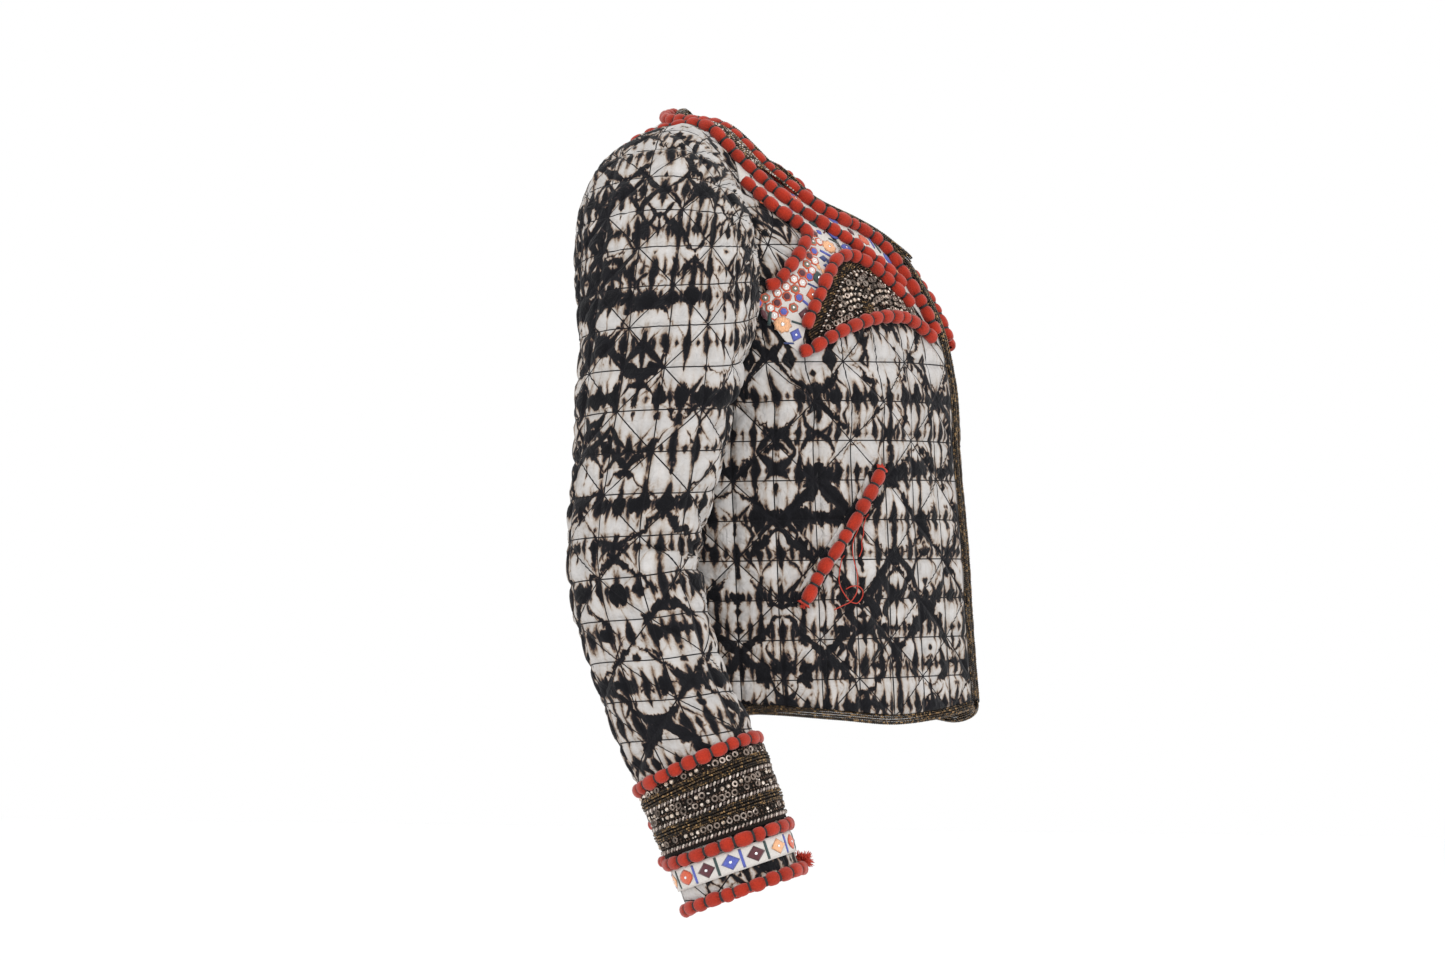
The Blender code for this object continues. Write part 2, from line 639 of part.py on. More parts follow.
def back_panel(side):
    """Half of the back; both halves are joined into one piece."""
    seam = seam_places(BACK_SEAM)
    low = np.linspace(-hem(0), -CHEST_LEVEL, LOWER_ROWS + 1)
    high = np.linspace(-CHEST_LEVEL, NECK_BACK[-1][1], BACK_EDGE_ROWS + 1)[1:]
    edge = np.concatenate([low, high])
    left = np.stack([edge * 0, edge], axis=1)
    neck = line(NECK_BACK, np.linspace(1, 0, BACK_NECK_ROWS + 1))[1:]
    left = np.concatenate([left, neck])
    rounds = rim_rounds(ROUND_BACK, 0.5, BACK_EDGE_ROWS + BACK_NECK_ROWS)
    right = np.concatenate([seam[:-1], armhole_places(rounds)])
    places = follow_hem(fan(left, right, BACK_COLUMNS))
    grids = panel_points(places, side)
    for grid, out in zip(grids, (CLOTH / 2, -CLOTH / 2)):
        grid[LOWER_ROWS:, -1] = rim(rounds, out, side, -1)
    return places, grids


def side_panel(side):
    """From the front seam round the side to the back seam."""
    front, back = seam_places(FRONT_SEAM), seam_places(BACK_SEAM)
    over = np.linspace(hem(100), ARMHOLE_FRONT[0][1], LOWER_ROWS + 1)
    turn = np.stack([over * 0 + 100, over], axis=1)
    near = follow_hem(fan(front, turn, SIDE_FRONT_COLUMNS))
    far = follow_hem(fan(turn * (1, -1), back, SIDE_BACK_COLUMNS))
    places = np.concatenate([near, far[:, 1:]], axis=1)
    grids = panel_points(places, side)
    rounds = np.concatenate([
        rim_rounds(ROUND_FRONT, 0, SIDE_FRONT_COLUMNS)[:-1],
        rim_rounds(1, ROUND_BACK, SIDE_BACK_COLUMNS),
    ])
    for grid, out in zip(grids, (CLOTH / 2, -CLOTH / 2)):
        grid[-1] = rim(rounds, out, side, -1)
    return places, grids


def pull_in(grids, sides, rows=None):
    """Moves the named edges of a panel in by half a seam gap, over some rows or all."""
    pulled = []
    for grid in grids:
        grid = grid.copy()
        pairs = {
            "hem": (np.s_[0], np.s_[1]),
            "top": (np.s_[-1], np.s_[-2]),
            "left": (np.s_[:, 0], np.s_[:, 1]),
            "right": (np.s_[:, -1], np.s_[:, -2]),
        }
        for side in sides:
            edge, inside = pairs[side]
            moves = unit(grid[inside] - grid[edge]) * SEAM_GAP / 2 * MM
            if side == "right" and rows is not None:
                moves[rows:] = 0
            grid[edge] += moves
        pulled.append(grid)
    return pulled


def raised_cells(places, plain_above):
    """Cells that are quilted in relief: all but those the yoke covers."""
    level = (places[:-1, :-1, 1] + places[1:, 1:, 1]) / 2
    return level > plain_above if plain_above > 0 else level < plain_above


def build_body(side, word):
    """The panels of one side. Returns the grids that braid and yoke are made from."""
    front_places, front = front_panel(side)
    side_places, flank = side_panel(side)
    raised = raised_cells(front_places, PLAIN_FRONT)
    raised[LOWER_ROWS - 1:, -1] = False
    grids = pull_in(front, ("top", "left", "right"), LOWER_ROWS)
    cloth_wall("front_" + word, [grids], "quilted_cotton", raised=[raised])
    raised = np.ones((side_places.shape[0] - 1, side_places.shape[1] - 1), bool)
    raised[-1] = False
    grids = pull_in(flank, ("left", "right"))
    cloth_wall("side_" + word, [grids], "quilted_cotton", raised=[raised])
    return front, flank


def build_back():
    halves = {side: back_panel(side) for side in (-1, 1)}
    grids = [pull_in(halves[side][1], ("top", "right"), LOWER_ROWS) for side in (-1, 1)]
    raised = [raised_cells(halves[side][0], PLAIN_BACK) for side in (-1, 1)]
    for cells in raised:
        cells[LOWER_ROWS - 1:, -1] = False
    cloth_wall("back", grids, "quilted_cotton", raised=raised, closed_edges=LOWER_ROWS + BACK_EDGE_ROWS)
    return {side: halves[side][1] for side in (-1, 1)}


def sleeve_rows(side):
    """Where the rows of a sleeve lie, the head first and the cuff last."""
    length = ARM_LENGTH[side]
    head = np.linspace(-CAP_LENGTH, 0, HEAD_ROWS + 1)
    arm = np.linspace(0, length - SLEEVE_PLAIN, ARM_ROWS + 1)[1:]
    cuff = length - np.array([BEAD_BAND[1], CUFF_CORDS[1], MIRROR_BAND[1], 0.0])
    return np.concatenate([head, arm, cuff])


def roomy(grid):
    """Cells of a ring of cloth that are large enough to quilt in relief."""
    down = np.linalg.norm(grid[1:] - grid[:-1], axis=2)
    down = np.minimum(down, np.roll(down, -1, axis=1))
    roomy_cells = down > SMALL_CELL * MM
    roomy_cells[0] = False
    return roomy_cells


def sleeve_rings_at(along, out, side):
    """Corners of the sleeve's rings, between its rows where asked."""
    rows = sleeve_rows(side)
    rounds = np.arange(SLEEVE_COLUMNS_ROUND) / SLEEVE_COLUMNS_ROUND
    grid = sleeve(rounds[None, :], rows[:, None], out, side)
    grid[0] = rim(rounds, out, side, 1)
    where = np.interp(along, rows, np.arange(len(rows)))
    low = np.clip(np.floor(where).astype(int), 0, len(rows) - 2)
    share = (where - low)[:, None, None]
    return grid[low] * (1 - share) + grid[low + 1] * share


def build_sleeve(side, word):
    rows = sleeve_rows(side)
    grids = [sleeve_rings_at(rows, out, side) for out in (CLOTH / 2, -CLOTH / 2)]
    raised = np.ones((len(rows) - 1, SLEEVE_COLUMNS_ROUND), bool)
    raised[rows[1:] > ARM_LENGTH[side] - SLEEVE_PLAIN + 1] = False
    raised &= roomy(grids[0])
    cloth_wall("sleeve_" + word, [grids], "quilted_cotton", ring=True, raised=[raised])
    under = CLOTH / 2 + SEAT
    for name, places, slot in (
        ("bead_band_", BEAD_BAND, "crystal_beads"),
        ("mirror_band_", MIRROR_BAND, "embroidered_cotton"),
    ):
        along = ARM_LENGTH[side] - np.array(places)
        pair = [sleeve_rings_at(along, out, side) for out in (under + PATCH, under)]
        cloth_wall(name + word, [pair], slot, ring=True)


def puffs_along(centres, ring=False):
    """Evenly spaced points with a radius for each: thin at the ties, full between them."""
    if ring:
        centres = np.concatenate([centres, centres[:1]])
    reach = lengths(centres)
    count = max(2, round(reach[-1] / (PUFF_LENGTH * MM)))
    where = np.linspace(0, reach[-1], 2 * count + 1)
    points = np.stack([np.interp(where, reach, centres[:, axis]) for axis in range(3)], axis=1)
    radius = np.where(np.arange(2 * count + 1) % 2 == 1, 1.0, GROOVE_WIDTH / PUFF_WIDTH)
    if ring:
        return points[:-1], radius[:-1]
    radius[[0, -1]] = CORD_END
    return points, radius


def puff_cord(name, centres, ring=False):
    """A cord of stuffed cloth tied off into puffs."""
    points, radius = puffs_along(centres, ring)
    curve = bpy.data.curves.new(name, "CURVE")
    curve.dimensions = "3D"
    curve.bevel_depth = PUFF_WIDTH / 2 * MM
    curve.bevel_resolution = CORD_ROUNDNESS
    curve.use_fill_caps = True
    spline = curve.splines.new("POLY")
    spline.points.add(len(points) - 1)
    for point, place, size in zip(spline.points, points, radius):
        point.co = (*place, 1.0)
        point.radius = size
    spline.use_cyclic_u = ring
    return add_object(name, curve, "puff_cotton")


def yoke_sheet(front, back):
    """The panels' outer points over the shoulder, with their way out."""
    first = LOWER_ROWS - 1
    parts = []
    for k in range(2):
        parts.append(np.concatenate([front[k][first:], back[k][first:][::-1][1:]]))
    return parts[0], unit(parts[0] - parts[1])


def sheet_tree(points):
    rows, columns = points.shape[:2]
    faces = []
    for i in range(rows - 1):
        for j in range(columns - 1):
            for half in cell_halves(i, j):
                faces.append([(i + di) * columns + j + dj for di, dj in half])
    return BVHTree.FromPolygons([Vector(p) for p in points.reshape(-1, 3)], faces)


def seated(tree, across, over, lift, side):
    """Points over places on the yoke, lifted from the faces below them."""
    found = []
    high = body(across, over, SEEK, side)
    low = body(across, over, -SEEK, side)
    for start, end in zip(high, low):
        way = Vector(end - start).normalized()
        hit = tree.ray_cast(Vector(start), way)[0]
        hit = (Vector(start) + Vector(end)) / 2 if hit is None else hit
        found.append(hit - way * lift * MM)
    return np.array(found)


def resample(rows, side, step):
    """Places along a line of the yoke, about a step apart."""
    shares = np.linspace(0, 1, LINE_POINTS)
    fine = line(rows, shares)
    reach = lengths(body(fine[:, 0] / 100, fine[:, 1], CLOTH, side))
    count = max(2, round(reach[-1] / (step * MM)))
    return line(rows, np.interp(np.linspace(0, reach[-1], count + 1), reach, shares))


def yoke_strip(name, first, second, slot, sheet, side):
    """Cloth laid on the yoke between two lines, cut from the panels' points moved out."""
    outer, way = sheet
    count = len(resample(first, side, STRIP_STEP))
    shares = np.linspace(0, 1, count)
    a, b = line(first, shares), line(second, shares)
    width = np.linalg.norm(
        body(a[:, 0] / 100, a[:, 1], 0, side) - body(b[:, 0] / 100, b[:, 1], 0, side), axis=1)
    inset = np.clip(EDGE_IN * MM / width, 0, MOST_INSET)[:, None]
    t = inset + (1 - 2 * inset) * np.linspace(0, 1, STRIP_COLUMNS + 1)[None, :]
    places = a[:, None] + (b - a)[:, None] * t[..., None]
    cutter = cloth_wall("cut_" + name, [[
        body(places[..., 0] / 100, places[..., 1], out, side) for out in (CUTTER_ABOVE, CUTTER_BELOW)
    ]], None)
    pair = [outer + way * (SEAT + PATCH) * MM, outer + way * SEAT * MM]
    made = cloth_wall(name, [pair], slot)
    cut = made.modifiers.new("outline", "BOOLEAN")
    cut.operation = "INTERSECT"
    cut.solver = "EXACT"
    cut.object = cutter
    return made


def yoke_cord(name, rows, tree, side):
    places = resample(rows, side, PUFF_LENGTH / CORD_STEPS)
    lift = SEAT + PATCH + CORD_SEAT + PUFF_WIDTH / 2
    puff_cord(name, seated(tree, places[:, 0] / 100, places[:, 1], lift, side))


def build_yoke(side, word, front, back):
    sheet = yoke_sheet(front, back)
    tree = sheet_tree(sheet[0])
    for name, first, second, slot in (
        ("neck_strip_", CORD_NECK, CORD_MIDDLE, "embroidered_cotton"),
        ("chest_band_", CHEST_OUTER, CHEST_INNER, "embroidered_cotton"),
        ("point_band_", POINT_BAND, POINT_SIDE, "embroidered_cotton"),
        ("bead_triangle_", CORD_POINT, TRIANGLE_BASE, "crystal_beads"),
    ):
        yoke_strip(name + word, first, second, slot, sheet, side)
    for name, rows in (
        ("neck_cord_", CORD_NECK),
        ("middle_cord_", CORD_MIDDLE),
        ("outer_cord_", CORD_OUTER),
        ("point_cord_", CORD_POINT),
        ("base_cord_", CORD_BASE),
    ):
        yoke_cord(name + word, rows, tree, side)


def build_cuff_cords(side, word):
    for k, up in enumerate(CUFF_CORDS):
        along = np.array([ARM_LENGTH[side] - up])
        out = CLOTH / 2 + SEAT + PUFF_WIDTH / 2
        ring = sleeve_rings_at(along, out, side)[0]
        puff_cord("cuff_cord_%d_%s" % (k + 1, word), ring, ring=True)


def build_pocket(side, word):
    """A slanted welt: a cord tied into puffs on a folded lip."""
    places = resample(POCKET, side, PUFF_LENGTH / CORD_STEPS)
    across, over = places[:, 0] / 100, places[:, 1]
    low = CLOTH / 2 + QUILT_RISE + SEAT
    puff_cord("pocket_cord_" + word, body(across, over, low + PATCH + SEAT + PUFF_WIDTH / 2, side))
    places = resample(POCKET, side, STRIP_STEP)
    width = np.array([-POCKET_LIP, 1.0, POCKET_LIP])[None, :]
    across = (places[:, :1] + width / POCKET_ACROSS_MM) / 100
    over = places[:, 1:] + width * 0
    cloth_wall("pocket_welt_" + word, [[body(across, over, out, side) for out in (low + PATCH, low)]],
               "quilted_cotton")


def edge_band(name, centre, out, inside, ends=(0.0, 0.0)):
    """A flat braid along an edge, just clear of it. Each end can run on."""
    along = unit(np.gradient(centre, axis=0))
    away = np.cross(out, along)
    away = unit(away) * np.sign(np.sum(away * (centre - inside), axis=1, keepdims=True))
    centre = centre.copy()
    centre[0] -= along[0] * ends[0] * MM
    centre[-1] += along[-1] * ends[1] * MM
    near = centre + away * SEAM_GAP * MM
    far = near + away * BRAID_WIDTH * MM
    half = out * BRAID_THICKNESS / 2 * MM
    top = np.stack([near + half, far + half], axis=1)
    low = np.stack([near - half, far - half], axis=1)
    cloth_wall(name, [[top, low]], "bronze_beads")


def edge_rows(grids, take, beside):
    """Middle points, way out and inside neighbours of one edge of a panel."""
    outer, inner = grids
    middle = (outer + inner) / 2
    return middle[take], unit(outer - inner)[take], middle[beside]


def join_rows(parts):
    """One run of edge points from several, without their shared points."""
    joined = []
    for k in range(3):
        joined.append(np.concatenate([parts[0][k]] + [part[k][1:] for part in parts[1:]]))
    return joined


def build_braids(panels, back):
    bottom, above = np.s_[0, :], np.s_[1, :]
    run = []
    for side in (-1, 1):
        front, flank = panels[side]
        parts = [edge_rows(front, bottom, above), edge_rows(flank, bottom, above)]
        parts.append([row[::-1] for row in edge_rows(back[side], bottom, above)])
        run.append(join_rows(parts))
    run[1] = [row[::-1] for row in run[1]]
    edge_band("hem_braid", *join_rows(run), ends=(-2 * SEAM_GAP, -2 * SEAM_GAP))
    neck = np.s_[LOWER_ROWS + EDGE_ROWS:, 0], np.s_[LOWER_ROWS + EDGE_ROWS:, 1]
    nape = np.s_[LOWER_ROWS + BACK_EDGE_ROWS:, 0], np.s_[LOWER_ROWS + BACK_EDGE_ROWS:, 1]
    run = []
    for side in (-1, 1):
        parts = [edge_rows(panels[side][0], *neck)]
        parts.append([row[::-1] for row in edge_rows(back[side], *nape)])
        run.append(join_rows(parts))
    run[1] = [row[::-1] for row in run[1]]
    edge_band("neck_braid", *join_rows(run))
    edge = np.s_[:LOWER_ROWS + EDGE_ROWS + 1, 0], np.s_[:LOWER_ROWS + EDGE_ROWS + 1, 1]
    for side, word in ((-1, "right"), (1, "left")):
        rows = edge_rows(panels[side][0], *edge)
        edge_band("front_braid_" + word, *rows, ends=(BRAID_WIDTH + SEAM_GAP, 0.0))


def main():
    back = build_back()
    panels = {}
    for side, word in ((-1, "right"), (1, "left")):
        panels[side] = build_body(side, word)
        build_sleeve(side, word)
        build_yoke(side, word, panels[side][0], back[side])
        build_cuff_cords(side, word)
        build_pocket(side, word)
    build_braids(panels, back)


main()
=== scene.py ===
"""Short quilted mirror work jacket: cloth, cords, beads, stitching, light and camera.

The tables and the functions that place cloth are the ones of the part's source:
millimetres over the body cloth and along the sleeves.
"""

import math
import random

import bmesh
import bpy
import numpy as np
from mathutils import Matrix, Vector


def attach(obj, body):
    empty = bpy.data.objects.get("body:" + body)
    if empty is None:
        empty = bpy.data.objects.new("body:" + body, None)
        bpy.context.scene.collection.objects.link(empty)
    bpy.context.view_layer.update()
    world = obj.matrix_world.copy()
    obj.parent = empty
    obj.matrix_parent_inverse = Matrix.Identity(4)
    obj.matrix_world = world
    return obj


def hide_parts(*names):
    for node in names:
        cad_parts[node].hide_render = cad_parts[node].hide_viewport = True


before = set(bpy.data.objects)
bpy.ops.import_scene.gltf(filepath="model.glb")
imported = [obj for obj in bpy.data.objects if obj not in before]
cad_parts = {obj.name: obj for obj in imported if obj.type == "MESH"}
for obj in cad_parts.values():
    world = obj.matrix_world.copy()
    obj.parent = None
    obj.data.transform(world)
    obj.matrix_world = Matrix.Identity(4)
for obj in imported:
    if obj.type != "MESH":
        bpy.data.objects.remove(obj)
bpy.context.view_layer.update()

MM = 0.001
# The wearer's two sides: X is positive on the left one
SIDES = ((-1, "right"), (1, "left"))

# Driving sizes, in millimetres
CLOTH = 3.0
PATCH = 1.0
QUILT_RISE = 2.2
EDGE_TO_MIDDLE = 8.0

# Half sections of the body cloth. "over" is the way down from the shoulder line,
# in front (+) or behind (-). "prow" turns the front edge out.
BODY_COLUMNS = ("over", "middle_z", "side_z", "half_width", "middle_y", "side_y", "roundness", "prow")
BODY_ROWS = (
    (484, -483, -489, 181, -145, 20, 1.60, 3),
    (410, -409, -415, 175, -139, 19, 1.70, 3),
    (340, -339, -345, 171, -134, 18, 1.80, 4),
    (270, -268, -275, 171, -127, 20, 1.90, 5),
    (210, -208, -215, 173, -123, 27, 2.00, 6),
    (150, -146, -155, 175, -106, 40, 2.00, 7),
    (90, -86, -98, 178, -67, 47, 2.00, 6),
    (40, -33, -52, 182, -5, 50, 1.80, 0),
    (0, 3, -22, 187, 42, 52, 2.00, 0),
    (-40, 21, -52, 182, 104, 50, 3.20, 0),
    (-90, -25, -98, 178, 124, 47, 4.00, 0),
    (-150, -108, -155, 175, 131, 40, 3.60, 0),
    (-210, -205, -215, 173, 124, 27, 3.00, 0),
    (-270, -265, -275, 171, 113, 20, 2.60, 0),
    (-340, -335, -345, 171, 105, 18, 2.40, 0),
    (-410, -405, -415, 175, 106, 19, 2.30, 0),
    (-484, -479, -489, 181, 110, 20, 2.20, 0),
)
OVER_MOST = 484.0
OVER_STEP = 2.0
ACROSS_STEPS = 128
SECTION_POINTS = 181
SHOULDER_CURVE = 1.3
PROW_REACH = 18.0
BODY_MIDDLE = np.array([0.0, 20.0, -250.0])
# About how many millimetres a hundredth across is, over the whole body. For the yoke, about how
# many millimetres both numbers of a place stand for
ACROSS_MM = 2.5
YOKE_MM = (2.65, 1.0)

# Lines on the body cloth. "across" is the share of the way from the centre to the
# side, in hundredths, and comes first. "over" comes second.
NECK_FRONT = ((39.5, 0), (43, 12), (41.5, 34), (38.5, 55), (34, 69), (25, 78), (16, 86), (8.5, 96),
              (3.4, 111))
NECK_BACK = ((39.5, 0), (36.5, -9), (27, -23), (14, -33), (0, -36))
ARMHOLE_FRONT = ((100, 206), (89, 193), (81, 168), (77.5, 138), (76, 106), (74.5, 74), (72, 40),
                 (71, 18), (70, 0))
ARMHOLE_BACK = ((70, 0), (70.5, -22), (72, -48), (76, -90), (81, -132), (88, -176), (100, -206))
FRONT_SEAM = ((82, 171), (72, 200), (67.5, 232), (67, 300), (65.5, 400), (64, 484))
BACK_SEAM = ((83, -171), (77, -200), (74, -232), (73, -300), (73, -400), (73, -484))
HEM_RISE = ((0, 10), (14, 5), (25, 2), (40, 0), (60, 5), (85, 11), (100, 12))
HEM_OVER = 473.0

CORD_NECK = ((0.25, -43), (16, -40), (31, -29), (42, -10), (48, 12), (46.5, 35), (43, 57), (38, 74),
             (29, 84), (20, 91), (15, 101), (13, 121), (11.5, 143), (9, 165), (8, 174))
CORD_MIDDLE = ((0.25, -104), (20, -101), (37, -89), (49, -70), (56, -48), (60, -28), (64, -6), (66, 12),
               (63.5, 28), (60, 42), (56, 60), (51, 75.5), (43.5, 88.5), (35.5, 101.5), (28.5, 114),
               (22, 126.5), (18, 137))
CORD_OUTER = ((70.5, 51), (66, 64), (62, 77), (56.5, 88), (54.5, 95), (57, 102), (63, 116), (68.5, 129),
              (71.5, 135.5), (75, 137))
CORD_POINT = ((65.5, 172), (63, 162), (57.5, 144), (52, 127), (48, 118), (44, 114), (39, 113.5),
              (33.5, 118), (29, 126), (25, 135), (21.5, 143.5), (18, 152))
CORD_BASE = ((69, 189), (64.5, 186), (59, 179), (53, 173), (47.5, 168.5), (43, 165.5), (37.5, 162.5),
             (31, 161.5), (25, 162.5), (19.5, 166), (15, 171.5), (11, 178))
TRIANGLE_BASE = ((63.5, 184.5), (59, 179), (53, 173), (47.5, 168.5), (43, 165.5), (37.5, 162.5),
                 (31, 161.5), (25, 162.5), (19.5, 166), (15, 171.5), (13, 174.5))
CHEST_OUTER = ((70.5, 51), (66, 64), (62, 77), (56.5, 88), (54.5, 95), (57, 102), (63, 116), (68.5, 129),
               (71.5, 136), (75, 142), (75.8, 154), (75, 168), (72.5, 181), (69, 189))
CHEST_INNER = ((63, 30), (60, 42), (56, 60), (51, 75.5), (46, 86), (43, 95), (42.5, 106), (44, 114),
               (48, 118), (52, 127), (57.5, 144), (63, 162), (66.5, 178))
POINT_BAND = ((41, 92), (35.5, 101.5), (28.5, 114), (22, 126.5), (18, 137))
POINT_SIDE = ((40.5, 113.5), (37, 114.8), (33.5, 118), (29, 126), (25, 135), (21.5, 143.5), (18, 152))
POCKET = ((46, 282), (51.5, 304), (57, 324), (62, 342), (67.5, 361), (72.5, 384))

# The sleeve's middle line below the armhole. "width" lies fore and aft.
SLEEVE_COLUMNS = ("x", "y", "z", "width", "thickness")
RIGHT_SLEEVE = (
    (226, 47, -233, 121, 88),
    (228, 57, -295, 106, 80),
    (230, 64, -357, 97, 79),
    (231, 55, -403, 94, 76),
    (232, 34, -465, 91, 74),
    (232, 10, -514, 94, 74),
    (227, -25, -610, 87, 74),
)
LEFT_SLEEVE = (
    (226, 62, -236, 119, 88),
    (229, 93, -293, 106, 80),
    (232, 125, -351, 98, 79),
    (234, 147, -396, 95, 76),
    (236, 168, -458, 91, 74),
    (236, 170, -508, 94, 74),
    (232, 150, -605, 87, 74),
)
# The left sleeve hangs back, so that shoulder rolls back and down.
SHOULDER_ROLL = (0.0, 10.0, -8.0)
ROLL_SHARE = 0.3
ROLL_LEVEL = 210.0
ROLL_REACH = 110.0
SLEEVE_ROUNDNESS = 2.2
CAP_LENGTH = 210.0
CAP_STEPS = 70
ALONG_STEP = 2.0
ROUND_STEPS = 96

# How the sleeve head leaves the armhole, and how far each end pulls, as a share of
# the way between them. "round" is in hundredths: 0 underarm, 25 front, 50 top, 75 back.
CAP_COLUMNS = ("round", "outward", "backward", "upward", "pull_armhole", "pull_arm")
CAP_ROWS = (
    (0, 0.75, 0.0, -0.65, 0.40, 0.30),
    (25, 0.90, -0.35, 0.00, 0.35, 0.35),
    (50, 1.00, 0.00, 0.10, 0.33, 0.46),
    (75, 0.70, 0.60, 0.05, 0.42, 0.42),
    (100, 0.75, 0.0, -0.65, 0.40, 0.30),
)

# Largest folds. Height is out (+) or in (-), "turn" is the fold's lean in degrees.
FOLD_COLUMNS = ("place", "down", "length", "width", "turn", "height")
BODY_FOLDS = (
    (80, 205, 60, 16, 15, -4.0),
    (74, 222, 60, 18, 24, 4.0),
    (60, 205, 60, 18, 10, -3.5),
)
SLEEVE_FOLDS = (
    (30, 124, 46, 11, -12, -6.0),
    (34, 146, 60, 18, 10, 4.0),
    (36, 100, 60, 20, -20, 3.0),
    (20, -4, 60, 16, 35, -3.0),
)
# The body's folds fade out towards the shoulder line
FOLD_FADE = 40.0
SLEEVE_GIRTH = 280.0


def table(columns, rows):
    """A named array for each column of a table."""
    return dict(zip(columns, np.array(rows, float).T))


def smooth(where, knots, values):
    """Reads a smooth curve through table values at the places asked."""
    knots = np.asarray(knots, float)
    values = np.asarray(values, float)
    if knots[0] > knots[-1]:
        knots, values = knots[::-1], values[::-1]
    slopes = np.gradient(values, knots, axis=0)
    where = np.clip(where, knots[0], knots[-1])
    left = np.clip(np.searchsorted(knots, where, side="right") - 1, 0, len(knots) - 2)
    step = knots[left + 1] - knots[left]
    t = (where - knots[left]) / step
    if values.ndim > 1:
        step, t = step[..., None], t[..., None]
    start, end = values[left], values[left + 1]
    leave, arrive = slopes[left] * step, slopes[left + 1] * step
    return (
        (2 * t**3 - 3 * t**2 + 1) * start
        + (t**3 - 2 * t**2 + t) * leave
        + (3 * t**2 - 2 * t**3) * end
        + (t**3 - t**2) * arrive
    )


def lengths(points):
    """Distance along a row of points."""
    steps = np.linalg.norm(np.diff(points, axis=0), axis=1)
    return np.concatenate([[0.0], np.cumsum(steps)])


def line(rows, shares):
    """Places along a smooth line through table rows, at shares of its length."""
    rows = np.array(rows, float)
    knots = lengths(rows * (ACROSS_MM, 1.0))
    return smooth(np.asarray(shares) * knots[-1], knots, rows)


def fold_height(folds, place, down, place_width):
    """Height in millimetres that the folds give at each place."""
    height = np.zeros(np.broadcast(place, down).shape)
    for row in folds:
        fold = dict(zip(FOLD_COLUMNS, row))
        lean = math.radians(fold["turn"])
        sideways = (place * 100 - fold["place"]) * place_width / 100
        below = down - fold["down"]
        along = sideways * math.cos(lean) + below * math.sin(lean)
        beside = below * math.cos(lean) - sideways * math.sin(lean)
        height += fold["height"] * np.exp(-((along / fold["length"]) ** 2) - (beside / fold["width"]) ** 2)
    return height


def surface_normals(grid, outward):
    """Unit normals of a grid of points, turned to face away from the given points."""
    normal = np.cross(np.gradient(grid, axis=0), np.gradient(grid, axis=1))
    normal /= np.linalg.norm(normal, axis=2, keepdims=True)
    side = np.sign(np.sum(normal * (grid - outward), axis=2).mean())
    return normal * side


def body_grid():
    """Points and normals of half the body cloth, hem to hem over the shoulder."""
    rows = table(BODY_COLUMNS, BODY_ROWS)
    over = np.arange(-OVER_MOST, OVER_MOST + OVER_STEP / 2, OVER_STEP)
    at = {name: smooth(over, rows["over"], rows[name])[:, None] for name in BODY_COLUMNS}
    turn = np.linspace(0, math.pi / 2, SECTION_POINTS)
    x = at["half_width"] * np.sin(turn) ** (2 / at["roundness"])
    depth = np.cos(turn).clip(0) ** (2 / at["roundness"])
    y = at["side_y"] + (at["middle_y"] - at["side_y"]) * depth - at["prow"] * np.exp(-x / PROW_REACH)
    z = at["middle_z"] + (at["side_z"] - at["middle_z"]) * (x / at["half_width"]) ** SHOULDER_CURVE
    sections = np.stack([x, y, z], axis=-1)
    across = np.linspace(0, 1, ACROSS_STEPS + 1)
    grid = np.empty((len(over), len(across), 3))
    for k, section in enumerate(sections):
        reach = lengths(section)
        for axis in range(3):
            grid[k, :, axis] = np.interp(across * reach[-1], reach, section[:, axis])
    normal = surface_normals(grid, BODY_MIDDLE)
    girth = lengths(grid[len(over) // 4])[-1]
    lift = fold_height(BODY_FOLDS, across[None, :], np.abs(over)[:, None], girth)
    lift *= np.clip(np.abs(over) / FOLD_FADE, 0, 1)[:, None]
    grid = grid + normal * lift[..., None]
    return grid * MM, surface_normals(grid, BODY_MIDDLE)


BODY_POINTS, BODY_NORMALS = body_grid()


def read(grid, i, j):
    """Values of a fine grid between its rows and columns."""
    low_i = np.floor(i).astype(int)
    low_j = np.floor(j).astype(int)
    u = (i - low_i)[..., None]
    v = (j - low_j)[..., None]
    near = grid[low_i, low_j] * (1 - v) + grid[low_i, low_j + 1] * v
    far = grid[low_i + 1, low_j] * (1 - v) + grid[low_i + 1, low_j + 1] * v
    return near * (1 - u) + far * u


def body(across, over, out=0.0, side=1):
    """Points at shares across and millimetres over, moved out; side is -1 on the wearer's right."""
    across, over = np.broadcast_arrays(np.asarray(across, float), np.asarray(over, float))
    i = np.clip((over + OVER_MOST) / OVER_STEP, 0, BODY_POINTS.shape[0] - 1.001)
    j = np.clip(across * ACROSS_STEPS, 0, ACROSS_STEPS - 0.001)
    out = np.asarray(out, float)[..., None] * MM
    points = read(BODY_POINTS, i, j) + out * read(BODY_NORMALS, i, j)
    if side > 0:
        outer = np.clip(across / ROLL_SHARE, 0, 1)
        upper = np.clip((ROLL_LEVEL - np.abs(over)) / ROLL_REACH, 0, 1)
        roll = outer**2 * (3 - 2 * outer) * upper**2 * (3 - 2 * upper)
        points = points + roll[..., None] * np.array(SHOULDER_ROLL) * MM
    return points * (side, 1, 1)


